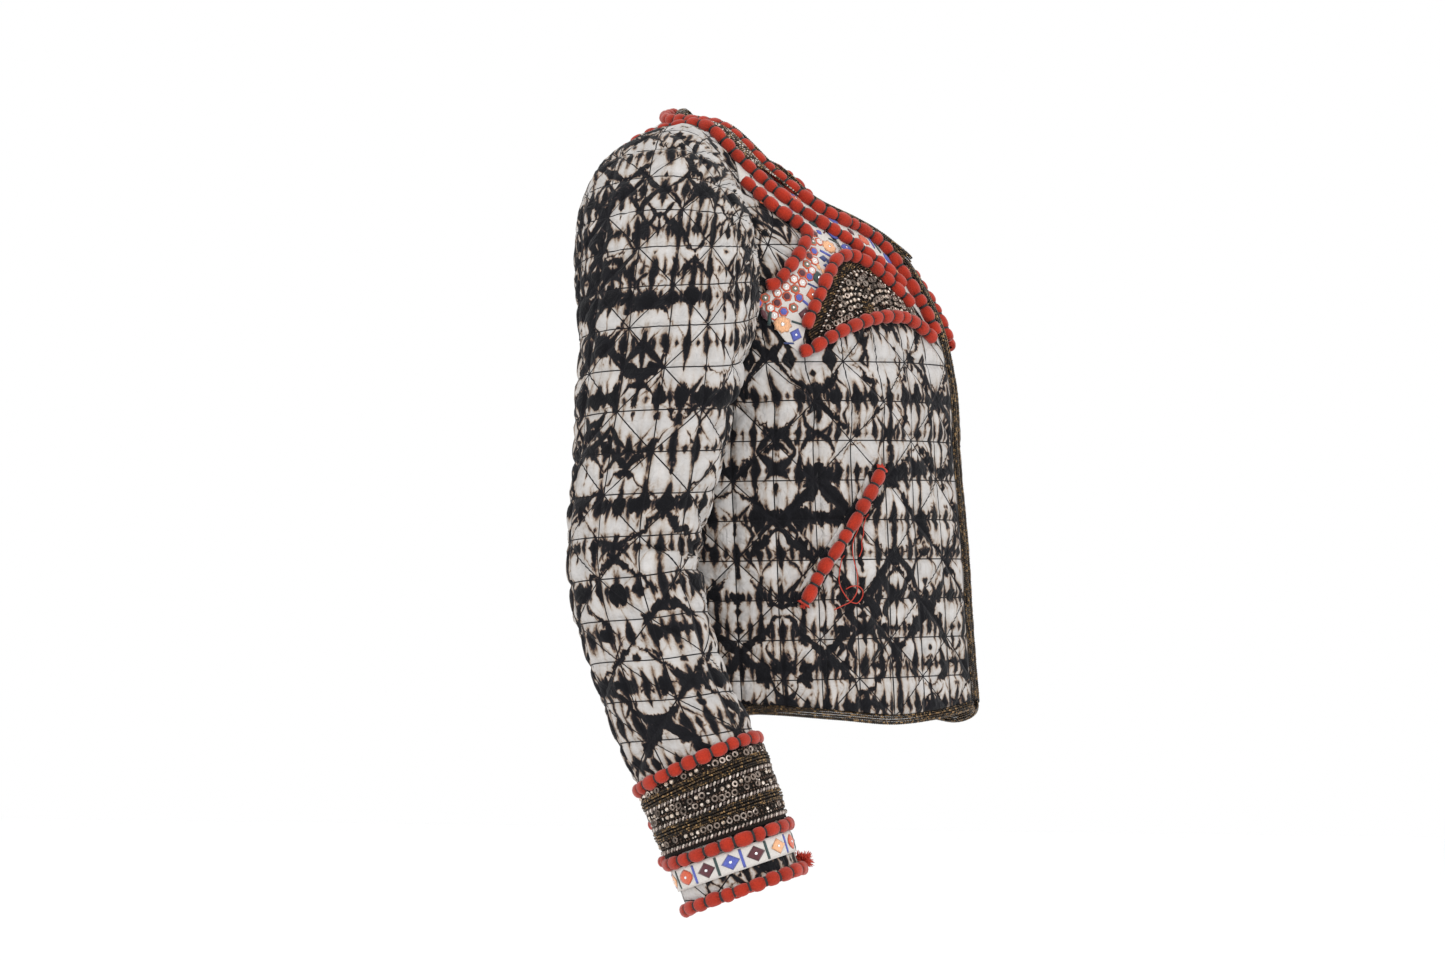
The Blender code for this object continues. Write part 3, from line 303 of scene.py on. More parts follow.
def armhole(rounds):
    """Places on the armhole: 0 underarm, 0.25 front, 0.5 top, 0.75 back, 1 underarm."""
    front = line(ARMHOLE_FRONT, np.clip(rounds * 2, 0, 1))
    back = line(ARMHOLE_BACK, np.clip(rounds * 2 - 1, 0, 1))
    places = np.where((rounds <= 0.5)[:, None], front, back)
    return places[:, 0] / 100, places[:, 1]


def sleeve_rings(rows, along, rounds):
    """Rings of the arm of the sleeve, square to its middle line."""
    at = table(SLEEVE_COLUMNS, rows)
    middle = np.stack([at["x"], at["y"], at["z"]], axis=1)
    knots = lengths(middle)
    share = along / knots[-1]
    centre = smooth(share, knots / knots[-1], middle)
    width = smooth(share, knots / knots[-1], at["width"])[:, None, None]
    thickness = smooth(share, knots / knots[-1], at["thickness"])[:, None, None]
    down = np.gradient(centre, axis=0)
    down /= np.linalg.norm(down, axis=1, keepdims=True)
    outward = np.array([1.0, 0.0, 0.0]) - down * down[:, :1]
    outward /= np.linalg.norm(outward, axis=1, keepdims=True)
    forward = np.cross(outward, down)
    forward *= -np.sign(forward[:, 1:2])
    angle = rounds * 2 * math.pi
    power = 2 / SLEEVE_ROUNDNESS
    flat = (np.sign(np.cos(angle)) * np.abs(np.cos(angle)) ** power)[None, :, None]
    fore = (np.sign(np.sin(angle)) * np.abs(np.sin(angle)) ** power)[None, :, None]
    rings = centre[:, None] - outward[:, None] * flat * thickness / 2 + forward[:, None] * fore * width / 2
    return rings, centre, down


def sleeve_length(rows):
    """Millimetres along a sleeve's middle line, from the underarm to the cuff's edge."""
    at = table(SLEEVE_COLUMNS, rows)
    return lengths(np.stack([at["x"], at["y"], at["z"]], axis=1))[-1]


def sleeve_grid(rows, side):
    """Points and normals of a sleeve as if on the +X side: the head from the armhole, then the arm."""
    rounds = np.linspace(0, 1, ROUND_STEPS + 1)
    steps = round(sleeve_length(rows) / ALONG_STEP)
    along = np.linspace(0, sleeve_length(rows), steps + 1)
    arm, centre, down = sleeve_rings(rows, along, rounds)
    start = body(*armhole(rounds), side=side) * (side, 1, 1) / MM
    cap = table(CAP_COLUMNS, CAP_ROWS)
    at = {name: smooth(rounds, cap["round"] / 100, cap[name])[:, None] for name in CAP_COLUMNS}
    leave = np.concatenate([at["outward"], at["backward"], at["upward"]], axis=1)
    leave /= np.linalg.norm(leave, axis=1, keepdims=True)
    gap = np.linalg.norm(arm[0] - start, axis=1, keepdims=True)
    pull_start = start + leave * gap * at["pull_armhole"]
    pull_end = arm[0] - down[0] * gap * at["pull_arm"]
    t = np.linspace(0, 1, CAP_STEPS + 1)[:-1, None, None]
    head = (
        (1 - t) ** 3 * start + 3 * t * (1 - t) ** 2 * pull_start
        + 3 * t**2 * (1 - t) * pull_end + t**3 * arm[0]
    )
    grid = np.concatenate([head, arm])
    middles = np.concatenate([np.repeat(centre[:1], CAP_STEPS, axis=0), centre])[:, None]
    normal = ring_normals(grid, middles)
    down_mm = np.concatenate([(t[:, 0, 0] - 1) * CAP_LENGTH, along])[:, None]
    lift = fold_height(SLEEVE_FOLDS, rounds[None, :], down_mm, SLEEVE_GIRTH)
    grid = grid + normal * lift[..., None]
    normal = ring_normals(grid, middles)
    return grid * MM, normal


def ring_normals(grid, middles):
    """Unit normals of rings of points whose first and last columns are one seam."""
    wrapped = np.concatenate([grid[:, -2:-1], grid, grid[:, 1:2]], axis=1)
    around = (wrapped[:, 2:] - wrapped[:, :-2]) / 2
    normal = np.cross(np.gradient(grid, axis=0), around)
    normal /= np.linalg.norm(normal, axis=2, keepdims=True) + 1e-12
    side = np.sign(np.sum(normal[CAP_STEPS:] * (grid - middles)[CAP_STEPS:], axis=2).mean())
    return normal * side


SLEEVES = {-1: sleeve_grid(RIGHT_SLEEVE, -1), 1: sleeve_grid(LEFT_SLEEVE, 1)}
ARM_LENGTH = {-1: sleeve_length(RIGHT_SLEEVE), 1: sleeve_length(LEFT_SLEEVE)}


def sleeve(rounds, along, out=0.0, side=1):
    """Points round a sleeve and millimetres along it; above 0 lies the head, up to the armhole."""
    points, normals = SLEEVES[side]
    rounds, along = np.broadcast_arrays(np.asarray(rounds, float), np.asarray(along, float))
    steps = points.shape[0] - CAP_STEPS - 1
    head = CAP_STEPS + along / CAP_LENGTH * CAP_STEPS
    arm = CAP_STEPS + along / ARM_LENGTH[side] * steps
    i = np.clip(np.where(along < 0, head, arm), 0, points.shape[0] - 1.001)
    j = (rounds % 1.0) * ROUND_STEPS
    out = np.asarray(out, float)[..., None] * MM
    found = read(points, i, j) + out * read(normals, i, j)
    return found * (side, 1, 1)


# Cloth in the scene has ten cells to each cell of the part
LOWER_ROWS = 90
FRONT_COLUMNS = 50
SIDE_FRONT_COLUMNS = 30
SIDE_BACK_COLUMNS = 20
BACK_COLUMNS = 50
EDGE_ROWS = 20
NECK_ROWS = 60
BACK_EDGE_ROWS = 50
BACK_NECK_ROWS = 30
CHEST_LEVEL = 175.0
LINE_POINTS = 161
ROUND_POINTS = 1001
SLEEVE_CELL = 3.2
STRIP_CELL = 2.6
STRIP_COLUMNS = 20
WELT_COLUMNS = 12
BAND_CELL = 2.5
# The shell is thinner than the part's wall, and its outer face lies a little lower
WALL = CLOTH - 0.4
SURFACE = CLOTH / 2 - 0.2
TINY = 1e-9

# Quilting on the body and the sleeves: where a star lies, and its spacing
BODY_STAR = (137.5, 196.0)
BODY_STEP = (32.0, 31.0)
SLEEVE_STAR = (14.0, 14.0)
SLEEVE_STEP = (32.0, 32.0)
SLEEVE_LEAN = 0.19
PUFF_HIGH = 2.8
PUFF_REACH = 9.0
PUFF_ROUNDNESS = 2.4
# Where quilting and creases die out: off the yoke and above the cuff's beads in millimetres, and in
# rows from the armhole seam
YOKE_FADE = 5.0
ARMHOLE_FADE = 7
SLEEVE_PLAIN = 112.0
QUILT_FADE = 6.0
CREASE_FADE = 20.0
SLEEVE_TURNED = 2.0
BODY_GIRTH = 265.0
# The yoke's outline is closed past the body's middle, and its middle cord ends at the chest band
OUTLINE_POINTS = 40
PAST_MIDDLE = -5
BAND_TOP = 28

# Cuff places, in millimetres up from the edge of the sleeve
CUFF_CORDS = (105.0, 41.0, 5.5)
BEAD_BAND = (100.5, 46.0)
MIRROR_BAND = (36.0, 19.5)

# Puffed cords: a puff from tie to tie and across, the tie, and how far the tie draws it in
PUFF_LENGTH = 12.4
POCKET_PUFF = 13.8
PUFF_WIDTH = 10.6
TIE_WIDTH = 1.8
GROOVE = 0.62
END_GROOVE = 0.35
FEWEST_PUFFS = 3
CORD_COLUMNS = 14
PUFF_ROWS = 8
CORD_STEP = 3.0
# No two puffs are alike: how far a tie strays, how thick a puff is, how far it leans to a side
TIE_STRAY = 0.13
PUFF_SIZES = (0.91, 1.08)
PUFF_LEAN = 0.6
# How high a cord's middle lies, less what it sinks into the cloth. The cuff's cords are flattened
CUFF_FLAT = 0.78
CORD_LIFT = CLOTH / 2 + PATCH + PUFF_WIDTH / 2 - 1.8
CUFF_CORD_LIFT = CLOTH / 2 + CUFF_FLAT * PUFF_WIDTH / 2 - 2.0
POCKET_LIFT = CLOTH / 2 + QUILT_RISE + PATCH + PUFF_WIDTH / 2 - 1.4
POCKET_LIP = 9.0

# How high the outer faces of the patches on the yoke and of the cuff's bands lie
YOKE_PATCH = CLOTH / 2 + 0.45 + PATCH
CUFF_PATCH = CLOTH / 2 + 0.4 + PATCH
# How far in from its two lines a strip is cut, and the largest share of its width that may be
STRIP_INSET = 0.8
MOST_INSET = 0.4

# Beaded braids: across and how far they stand up. A tilt is rows of a share of the way along and the
# degrees that the braid leans out there
BRAID_WIDTH = 7.4
BRAID_RISE = 2.4
FRONT_RISE = 3.0
NECK_BRAID = 9.0
NO_TILT = ((0.0, 0.0),)
FRONT_TILT = ((0.0, 8.0),)
NECK_TILT = (
    (0.0, 55.0), (0.12, 35.0), (0.24, 40.0), (0.34, 88.0), (0.66, 88.0), (0.76, 40.0), (0.88, 35.0),
    (1.0, 55.0))
# A plainer row of beads lies below the ones that show
UNDER_LIFT = -0.8
# The cuff's braids: across, how high they lie on the band and how far they stand up
CUFF_BRAID = (BRAID_WIDTH + 0.4, 0.6, 1.3)
# Their beads: the step from one to the next, the size, the slant, and how unevenly they are sewn
BEAD_STEP = 1.7
BRAID_BEAD = (2.4, 1.6, 1.5)
BRAID_SLANT = 38
BEAD_STRAY = 0.15
SLANT_STRAY = 8

# Small shapes in millimetres: how high stitches stand, and beads along, across and high
STITCH_HIGH = 0.7
BORDER_BEAD = (2.1, 1.5, 1.8)
FILL_BEAD = (1.8, 1.6, 1.6)
NAPE_BEAD = (2.2, 1.6, 1.7)
CUFF_SEED = (2.0, 2.0, 1.8)
STREWN_BUGLE = (3.6, 1.7, 1.7)
STREWN_SEED = (2.6, 2.6, 2.0)
TRIANGLE_TWIST = (3.6, 1.9, 2.0)
CUFF_TWIST = (4.8, 2.3, 2.4)
TWIST_TURN = 48
# Of what is strewn, up to which share it is a sequin, a stone or a bugle. The rest are seed beads
SEQUINS_TO = 0.42
STONES_TO = 0.70
BUGLES_TO = 0.84
STREWN_LEAN = 0.18
SEQUIN_SIZES = (5.0, 6.0)
SEQUIN_HIGH = 0.8
STONE_SIZES = (3.6, 4.6)
# Round the cuff: how high the twisted and the strewn rows lie, their steps, and how far down and
# round a strewn bead strays. Beside each lie seed beads, down and round by these
TWIST_LIFT = 0.9
TWIST_STEP = 3.1
STREWN_LIFT = 0.4
STREWN_STEP = 5.3
STREWN_STRAY = (0.7, 0.5)
SEEDS_BESIDE = ((2.6, 2.6), (-2.6, 2.6), (2.8, 0.0), (-2.8, 0.2))
DARK_SEEDS = 0.9

# Floor below the jacket, which the wearer holds up, and where the lamps point, in metres
FLOOR = -0.95
JACKET_MIDDLE = (0, 0.04, -0.3)


def unit(vectors):
    """Vectors made one long."""
    return vectors / np.linalg.norm(vectors, axis=-1, keepdims=True)


def at_places(places, out, side):
    """Points over the body at places in hundredths across and millimetres over."""
    return body(places[..., 0] / 100, places[..., 1], out, side)


def along_rows(grid):
    """Millimetres along each row of a grid of points."""
    return np.cumsum(np.linalg.norm(np.diff(grid, axis=1, prepend=grid[:, :1]), axis=2), axis=1) / MM


def along_columns(grid):
    """Millimetres along each column of a grid of points."""
    return np.cumsum(np.linalg.norm(np.diff(grid, axis=0, prepend=grid[:1]), axis=2), axis=0) / MM


def close_seam(grid):
    """Gives the last column of a tube the values of its first."""
    grid[:, -1] = grid[:, 0]


def yoke_length(rows):
    """Millimetres along a line of the yoke, straight from place to place."""
    return lengths(np.array(rows) * YOKE_MM)[-1]


def round_nearest(across, over):
    """Where on the armhole a seam arrives."""
    rounds = np.linspace(0, 1, ROUND_POINTS)
    at_across, at_over = armhole(rounds)
    return rounds[np.argmin(np.hypot((at_across * 100 - across) * ACROSS_MM, at_over - over))]


ROUND_FRONT = round_nearest(*FRONT_SEAM[0])
ROUND_BACK = round_nearest(*BACK_SEAM[0])


def hem(across):
    """Millimetres over at the hem, at each place across."""
    rise = np.array(HEM_RISE, float)
    return HEM_OVER - smooth(across, rise[:, 0], rise[:, 1])


def front_edge(over):
    """Places on the front edge, at a set distance from the centre plane."""
    rows = np.clip((over + OVER_MOST) / OVER_STEP, 0, BODY_POINTS.shape[0] - 1).astype(int)
    shares = np.linspace(0, 100, ACROSS_STEPS + 1)
    return np.array([np.interp(EDGE_TO_MIDDLE * MM, BODY_POINTS[r, :, 0], shares) for r in rows])


def seam_places(rows):
    """A side seam from the hem to the armhole."""
    shares = np.linspace(1, 0, LOWER_ROWS + 1)
    places = line(rows, shares)
    sign = np.sign(rows[-1][1])
    last = sign * hem(rows[-1][0])
    top = places[-1, 1]
    places[:, 1] = top + (places[:, 1] - top) * (last - top) / (places[0, 1] - top)
    return places


def armhole_places(rounds):
    """Places on the armhole, in hundredths across and millimetres over."""
    across, over = armhole(rounds)
    return np.stack([across * 100, over], axis=1)


def fan(left, right, columns):
    """Places between two edges, row by row."""
    share = np.linspace(0, 1, columns + 1)[None, :, None]
    return left[:, None] + (right - left)[:, None] * share


def follow_hem(places):
    """Bends the lower rows along the hem."""
    sign = np.sign(places[0, 0, 1])
    wanted = sign * hem(places[0, :, 0])
    fade = np.clip(1 - np.arange(places.shape[0]) / LOWER_ROWS, 0, 1)[:, None]
    places[:, :, 1] += (wanted - places[0, :, 1])[None, :] * fade
    return places


def resample(rows, side, step):
    """Places along a line of the yoke, about a step apart."""
    shares = np.linspace(0, 1, LINE_POINTS)
    fine = line(rows, shares)
    reach = lengths(at_places(fine, CLOTH, side))
    count = max(2, round(reach[-1] / (step * MM)))
    return line(rows, np.interp(np.linspace(0, reach[-1], count + 1), reach, shares))


BODY_REACH = np.array([lengths(row)[-1] / MM for row in BODY_POINTS])

# Creases finer than the part's folds, in the same columns
BODY_CREASES = (
    (93, 196, 46, 7, 28, -4.6),
    (88, 214, 52, 8, 34, 3.2),
    (83, 226, 50, 7, 30, -3.6),
    (96, 232, 40, 8, 12, -3.0),
    (70, 250, 40, 9, 70, -2.2),
    (30, 330, 60, 12, 80, -2.0),
    (52, 410, 54, 11, 84, 2.0),
)
SLEEVE_CREASES = (
    (26, 112, 40, 6, -16, -4.6),
    (34, 128, 44, 7, -4, 3.6),
    (24, 138, 38, 6, 12, -4.2),
    (33, 160, 40, 7, 16, -3.2),
    (20, 96, 36, 7, -30, -3.2),
    (86, 120, 46, 9, 10, -3.4),
    (80, 150, 50, 9, -12, 2.8),
    (12, -30, 60, 9, 40, -3.6),
    (20, -70, 60, 9, 52, -3.2),
    (62, 30, 60, 12, 60, -2.2),
)


def srgb(text):
    """Linear colour of a hex colour."""
    parts = [int(text[k:k + 2], 16) / 255 for k in (1, 3, 5)]
    return tuple(p / 12.92 if p <= 0.04045 else ((p + 0.055) / 1.055) ** 2.4 for p in parts) + (1.0,)


def quilt_lines(u, v, star, step):
    """Millimetres to the nearest quilting line."""
    a = (u - star[0]) / step[0]
    b = (v - star[1]) / step[1]
    near = [np.abs(a - np.round(a)), np.abs(b - np.round(b))]
    for diagonal in ((a + b) / 2, (a - b) / 2):
        near.append(np.abs(diagonal - np.round(diagonal)) * math.sqrt(2))
    return np.minimum.reduce(near) * step[0]


def quilt_rise(u, v, star, step):
    """Height of the wadding between quilting lines."""
    near = np.clip(quilt_lines(u, v, star, step) / PUFF_REACH, 0, 1)
    return PUFF_HIGH * (1 - (1 - near) ** PUFF_ROUNDNESS)


def sheet_mesh(name, points, above, maps, closed=False):
    """A mesh of a grid of points, facing the points above it, with its maps on the corners."""
    rows, columns = points.shape[:2]
    mesh = bmesh.new()
    bmesh.ops.create_grid(mesh, x_segments=columns - 1, y_segments=rows - 1, size=1)
    for vertex, place in zip(mesh.verts, points.reshape(-1, 3)):
        vertex.co = place
    mesh.verts.index_update()
    layers = [(mesh.loops.layers.uv.new(key), values.reshape(-1, 2)) for key, values in maps.items()]
    for face in mesh.faces:
        for loop in face.loops:
            for layer, values in layers:
                loop[layer].uv = values[loop.vert.index]
    mesh.normal_update()
    mesh.faces.ensure_lookup_table()
    middle = mesh.faces[(rows // 2 - 1) * (columns - 1) + columns // 2]
    way = Vector(above[rows // 2, columns // 2] - points[rows // 2, columns // 2])
    if middle.normal.dot(way) < 0:
        bmesh.ops.reverse_faces(mesh, faces=mesh.faces)
    if closed:
        join(mesh, 0.01)
    return shown(name, mesh)


def join(mesh, apart):
    """Makes one of corners that lie less than so many millimetres apart."""
    bmesh.ops.remove_doubles(mesh, verts=mesh.verts, dist=apart * MM)


def shown(name, mesh):
    """An object in the scene, made of a finished bmesh."""
    data = bpy.data.meshes.new(name)
    mesh.to_mesh(data)
    mesh.free()
    data.shade_smooth()
    made = bpy.data.objects.new(name, data)
    bpy.context.scene.collection.objects.link(made)
    return made


def dress(piece, material, slot, *nodes):
    """Gives a piece its material and ties it to the part."""
    piece.data.materials.append(material)
    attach(piece, "root")
    if nodes:
        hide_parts(*nodes)


def thicken(piece, thickness):
    """Gives a sheet its wall, on the inner side."""
    wall = piece.modifiers.new("wall", "SOLIDIFY")
    wall.thickness = thickness * MM
    wall.offset = -1
    return piece


def yoke_outline():
    """The edge of what the yoke covers on half the body, as places."""
    shares = np.linspace(0, 1, OUTLINE_POINTS)
    base, chest, middle = (line(rows, shares)[::-1] for rows in (CORD_BASE, CHEST_OUTER, CORD_MIDDLE))
    middle = middle[middle[:, 1] < BAND_TOP]
    ends = [[(PAST_MIDDLE, rows[k][1])] for rows, k in ((CORD_BASE, -1), (CORD_MIDDLE, 0))]
    return np.concatenate([ends[0], base, chest, middle, ends[1]])


def off_yoke(places):
    """Millimetres outside the yoke's edge; below 0 under it."""
    edge = yoke_outline() * YOKE_MM
    at = places.reshape(-1, 2) * YOKE_MM
    near = np.full(len(at), np.inf)
    inside = np.zeros(len(at), bool)
    for start, end in zip(edge, np.roll(edge, -1, axis=0)):
        way = end - start
        t = np.clip((at - start) @ way / max(way @ way, TINY), 0, 1)
        near = np.minimum(near, np.linalg.norm(at - start - t[:, None] * way, axis=1))
        crosses = (start[1] > at[:, 1]) != (end[1] > at[:, 1])
        rise = way[1] if abs(way[1]) > TINY else TINY
        inside ^= crosses & (at[:, 0] < start[0] + (at[:, 1] - start[1]) / rise * way[0])
    return np.where(inside, -near, near).reshape(places.shape[:2])


def body_surface(places, u, v):
    """How far out the quilted cloth of the body lies."""
    rise = quilt_rise(u, v, BODY_STAR, BODY_STEP) * np.clip(off_yoke(places) / YOKE_FADE, 0, 1)
    crease = fold_height(BODY_CREASES, places[..., 0] / 100, np.abs(places[..., 1]), BODY_GIRTH)
    return SURFACE + rise + crease


def shared_rim(rounds, side):
    """Outer points of the armhole seam, the same for the body and the sleeve."""
    places = armhole(rounds)
    centre = body(*places, side=side)
    body_out = unit(body(*places, out=1.0, side=side) - centre)
    sleeve_out = unit(sleeve(rounds, -CAP_LENGTH, 1.0, side) - sleeve(rounds, -CAP_LENGTH, 0.0, side))
    return centre + unit(body_out + sleeve_out) * CLOTH / 2 * MM


def meet(points, rim, take):
    """Moves an edge of a grid onto the armhole seam, and eases in what lies next to it."""
    moves = rim - points[take(0)]
    for k in range(ARMHOLE_FADE):
        points[take(k)] += moves * (1 - k / ARMHOLE_FADE) ** 2


def half_places(seam_rows, edge, neck, round_start, columns):
    """Places between a neckline with its edge below and a seam with the armhole above, and where
    they meet the armhole."""
    left = np.concatenate([edge, neck[1:]])
    rounds = np.linspace(round_start, 0.5, len(left) - LOWER_ROWS)
    right = np.concatenate([seam_places(seam_rows)[:-1], armhole_places(rounds)])
    return follow_hem(fan(left, right, columns)), rounds


def edge_levels(sign, neck_end, rows):
    """Millimetres over along an edge, from the hem to the neckline."""
    return np.concatenate([
        np.linspace(sign * hem(0), sign * CHEST_LEVEL, LOWER_ROWS + 1),
        np.linspace(sign * CHEST_LEVEL, neck_end, rows + 1)[1:],
    ])


def front_places():
    """Places of a front, from the hem to the shoulder and from its edge to the seam."""
    over = edge_levels(1, NECK_FRONT[-1][1], EDGE_ROWS)
    neck = line(NECK_FRONT, np.linspace(1, 0, NECK_ROWS + 1))
    edge = np.stack([front_edge(over), over], axis=1)
    return half_places(FRONT_SEAM, edge, neck, ROUND_FRONT, FRONT_COLUMNS)


def back_places():
    """Places of half the back, from the hem to the shoulder and from its middle to the seam."""
    over = edge_levels(-1, NECK_BACK[-1][1], BACK_EDGE_ROWS)
    neck = line(NECK_BACK, np.linspace(1, 0, BACK_NECK_ROWS + 1))
    edge = np.stack([over * 0, over], axis=1)
    return half_places(BACK_SEAM, edge, neck, ROUND_BACK, BACK_COLUMNS)


def side_places():
    """Places of a side panel, from the hem to the underarm and from seam to seam."""
    front, back = seam_places(FRONT_SEAM), seam_places(BACK_SEAM)
    over = np.linspace(hem(100), ARMHOLE_FRONT[0][1], LOWER_ROWS + 1)
    turn = np.stack([over * 0 + 100, over], axis=1)
    near = follow_hem(fan(front, turn, SIDE_FRONT_COLUMNS))
    far = follow_hem(fan(turn * (1, -1), back, SIDE_BACK_COLUMNS))
    rounds = np.concatenate([
        np.linspace(ROUND_FRONT, 0, SIDE_FRONT_COLUMNS + 1)[:-1],
        np.linspace(1, ROUND_BACK, SIDE_BACK_COLUMNS + 1),
    ])
    return np.concatenate([near, far[:, 1:]], axis=1), rounds


def girth_at(over):
    """Length of half a section of the body cloth."""
    return np.interp(over, np.linspace(-OVER_MOST, OVER_MOST, len(BODY_REACH)), BODY_REACH)


def body_piece(places, rounds, side, take, wrap=False):
    """A panel of quilted cloth whose edge, picked by take, is the armhole seam. On a side panel both
    maps run on round the side."""
    v = places[..., 1]
    u = places[..., 0] / 100 * girth_at(v)
    if wrap:
        u = np.where(v < 0, girth_at(np.abs(v)) + (girth_at(v) - u), u)
        v = np.abs(v)
    out = body_surface(places, u, v)
    points, above = at_places(places, out, side), at_places(places, out + 1, side)
    meet(points, shared_rim(rounds, side), take)
    return points, above, cloth_maps(u, v, side, BODY_DYE, BODY_STAR, BODY_STEP)


def cloth_maps(u, v, side, bands, star, step):
    """Maps of quilted cloth: its dye in millimetres, its bands of dye, and its quilting squares with
    a star at every even sum."""
    return {
        "dye": np.stack([u * -side, v], axis=-1),
        "band": dye_map(v, bands),
        "quilt": np.stack([(u - star[0]) / step[0], (v - star[1]) / step[1]], axis=-1),
    }


def make_panel(name, grid, cotton, closed=False):
    """A panel of quilted cotton for the part's node of that name."""
    points, above, maps = grid
    made = sheet_mesh("cloth_" + name, points, above, maps, closed)
    dress(thicken(made, WALL), cotton, "quilted_cotton", name)


def upper_side(k):
    """The stretch of a panel's side edge at the armhole, k columns in."""
    return np.s_[LOWER_ROWS:], -1 - k


def make_body(cotton):
    """The fronts, the side panels and the back."""
    for side, word in SIDES:
        make_panel("front_" + word, body_piece(*front_places(), side, upper_side), cotton)
        make_panel("side_" + word, body_piece(
            *side_places(), side, lambda k: (-1 - k,), wrap=True), cotton)
    halves = [body_piece(*back_places(), side, upper_side) for side in (-1, 1)]
    mesh = bmesh.new()
    for half in halves:
        piece = sheet_mesh("half_back", *half)
        mesh.from_mesh(piece.data)
        bpy.data.objects.remove(piece)
    join(mesh, 0.05)
    back = shown("cloth_back", mesh)
    dress(thicken(back, WALL), cotton, "quilted_cotton", "back")


def make_sleeves(cotton):
    """Both sleeves, from the armhole seam to the cuff's edge."""
    rounds = np.linspace(0, 1, ROUND_STEPS + 1)
    for side, word in SIDES:
        length = ARM_LENGTH[side]
        along = np.concatenate([
            np.linspace(-CAP_LENGTH, 0, CAP_STEPS + 1)[:-1],
            np.linspace(0, length - SLEEVE_TURNED, round(length / SLEEVE_CELL) + 1),
        ])[:, None]
        flat = sleeve(rounds, along, 0.0, side)
        close_seam(flat)
        around, down = along_rows(flat), along_columns(flat)
        u = around - around[:, ROUND_STEPS // 2][:, None]
        v = down - down[CAP_STEPS] - SLEEVE_LEAN * u
        above_cuff = length - SLEEVE_PLAIN - along
        rise = quilt_rise(u, v, SLEEVE_STAR, SLEEVE_STEP) * np.clip(above_cuff / QUILT_FADE, 0, 1)
        crease = fold_height(SLEEVE_CREASES, rounds, along, SLEEVE_GIRTH)
        out = SURFACE + rise + crease * np.clip(above_cuff / CREASE_FADE, 0, 1)
        close_seam(out)
        points, above = sleeve(rounds, along, out, side), sleeve(rounds, along, out + 1, side)
        close_seam(points)
        meet(points, shared_rim(rounds, side), lambda k: (k,))
        close_seam(points)
        maps = cloth_maps(u, v, side, SLEEVE_DYE, SLEEVE_STAR, SLEEVE_STEP)
        make_panel("sleeve_" + word, (points, above, maps), cotton, closed=True)


def give(tree, node, values):
    """Sets a node's sockets. A value is a number, a colour or the socket it comes from."""
    for socket, value in values.items():
        if isinstance(value, bpy.types.NodeSocket):
            tree.links.new(value, node.inputs[socket])
        elif value is not None:
            node.inputs[socket].default_value = value


def add(tree, kind, *values, take=0, **settings):
    """Adds a node and returns one of its outputs. A second word in its kind is the operation, and a
    dict among its values names its sockets."""
    kind, _, operation = kind.partition(" ")
    made = tree.nodes.new("ShaderNode" + kind)
    if operation:
        made.operation = operation
    for name, value in settings.items():
        setattr(made, name, value)
    for place, value in enumerate(values):
        give(tree, made, value if isinstance(value, dict) else {place: value})
    return made.outputs[take]


def add_ramp(tree, value, stops):
    """Colours along a value from 0 to 1."""
    made = tree.nodes.new("ShaderNodeValToRGB")
    tree.links.new(value, made.inputs[0])
    spots = made.color_ramp.elements
    while len(spots) < len(stops):
        spots.new(0.5)
    for spot, (place, _) in zip(spots, stops):
        spot.position = place
    for spot, (_, colour) in zip(spots, stops):
        spot.color = srgb(colour)
    return made.outputs[0]


def coat(made, values):
    """Gives a material's shader its values."""
    give(made.node_tree, made.node_tree.nodes["Principled BSDF"], values)
    return made


def plain(name, colour, roughness=0.8, metallic=0.0):
    """A material of one colour all over."""
    made = bpy.data.materials.new(name)
    made.use_nodes = True
    return coat(made, {"Base Color": srgb(colour), "Roughness": roughness, "Metallic": metallic})


def along_path(points, ways, where):
    """Points, way out and way along at distances along a path, all in metres."""
    reach = lengths(points)
    centre, out, forward = (
        np.stack([np.interp(where, reach, rows[:, axis]) for axis in range(3)], axis=1)
        for rows in (points, ways, np.gradient(points, axis=0)))
    forward = unit(forward)
    out = unit(out - forward * np.sum(out * forward, axis=1, keepdims=True))
    return centre, out, forward


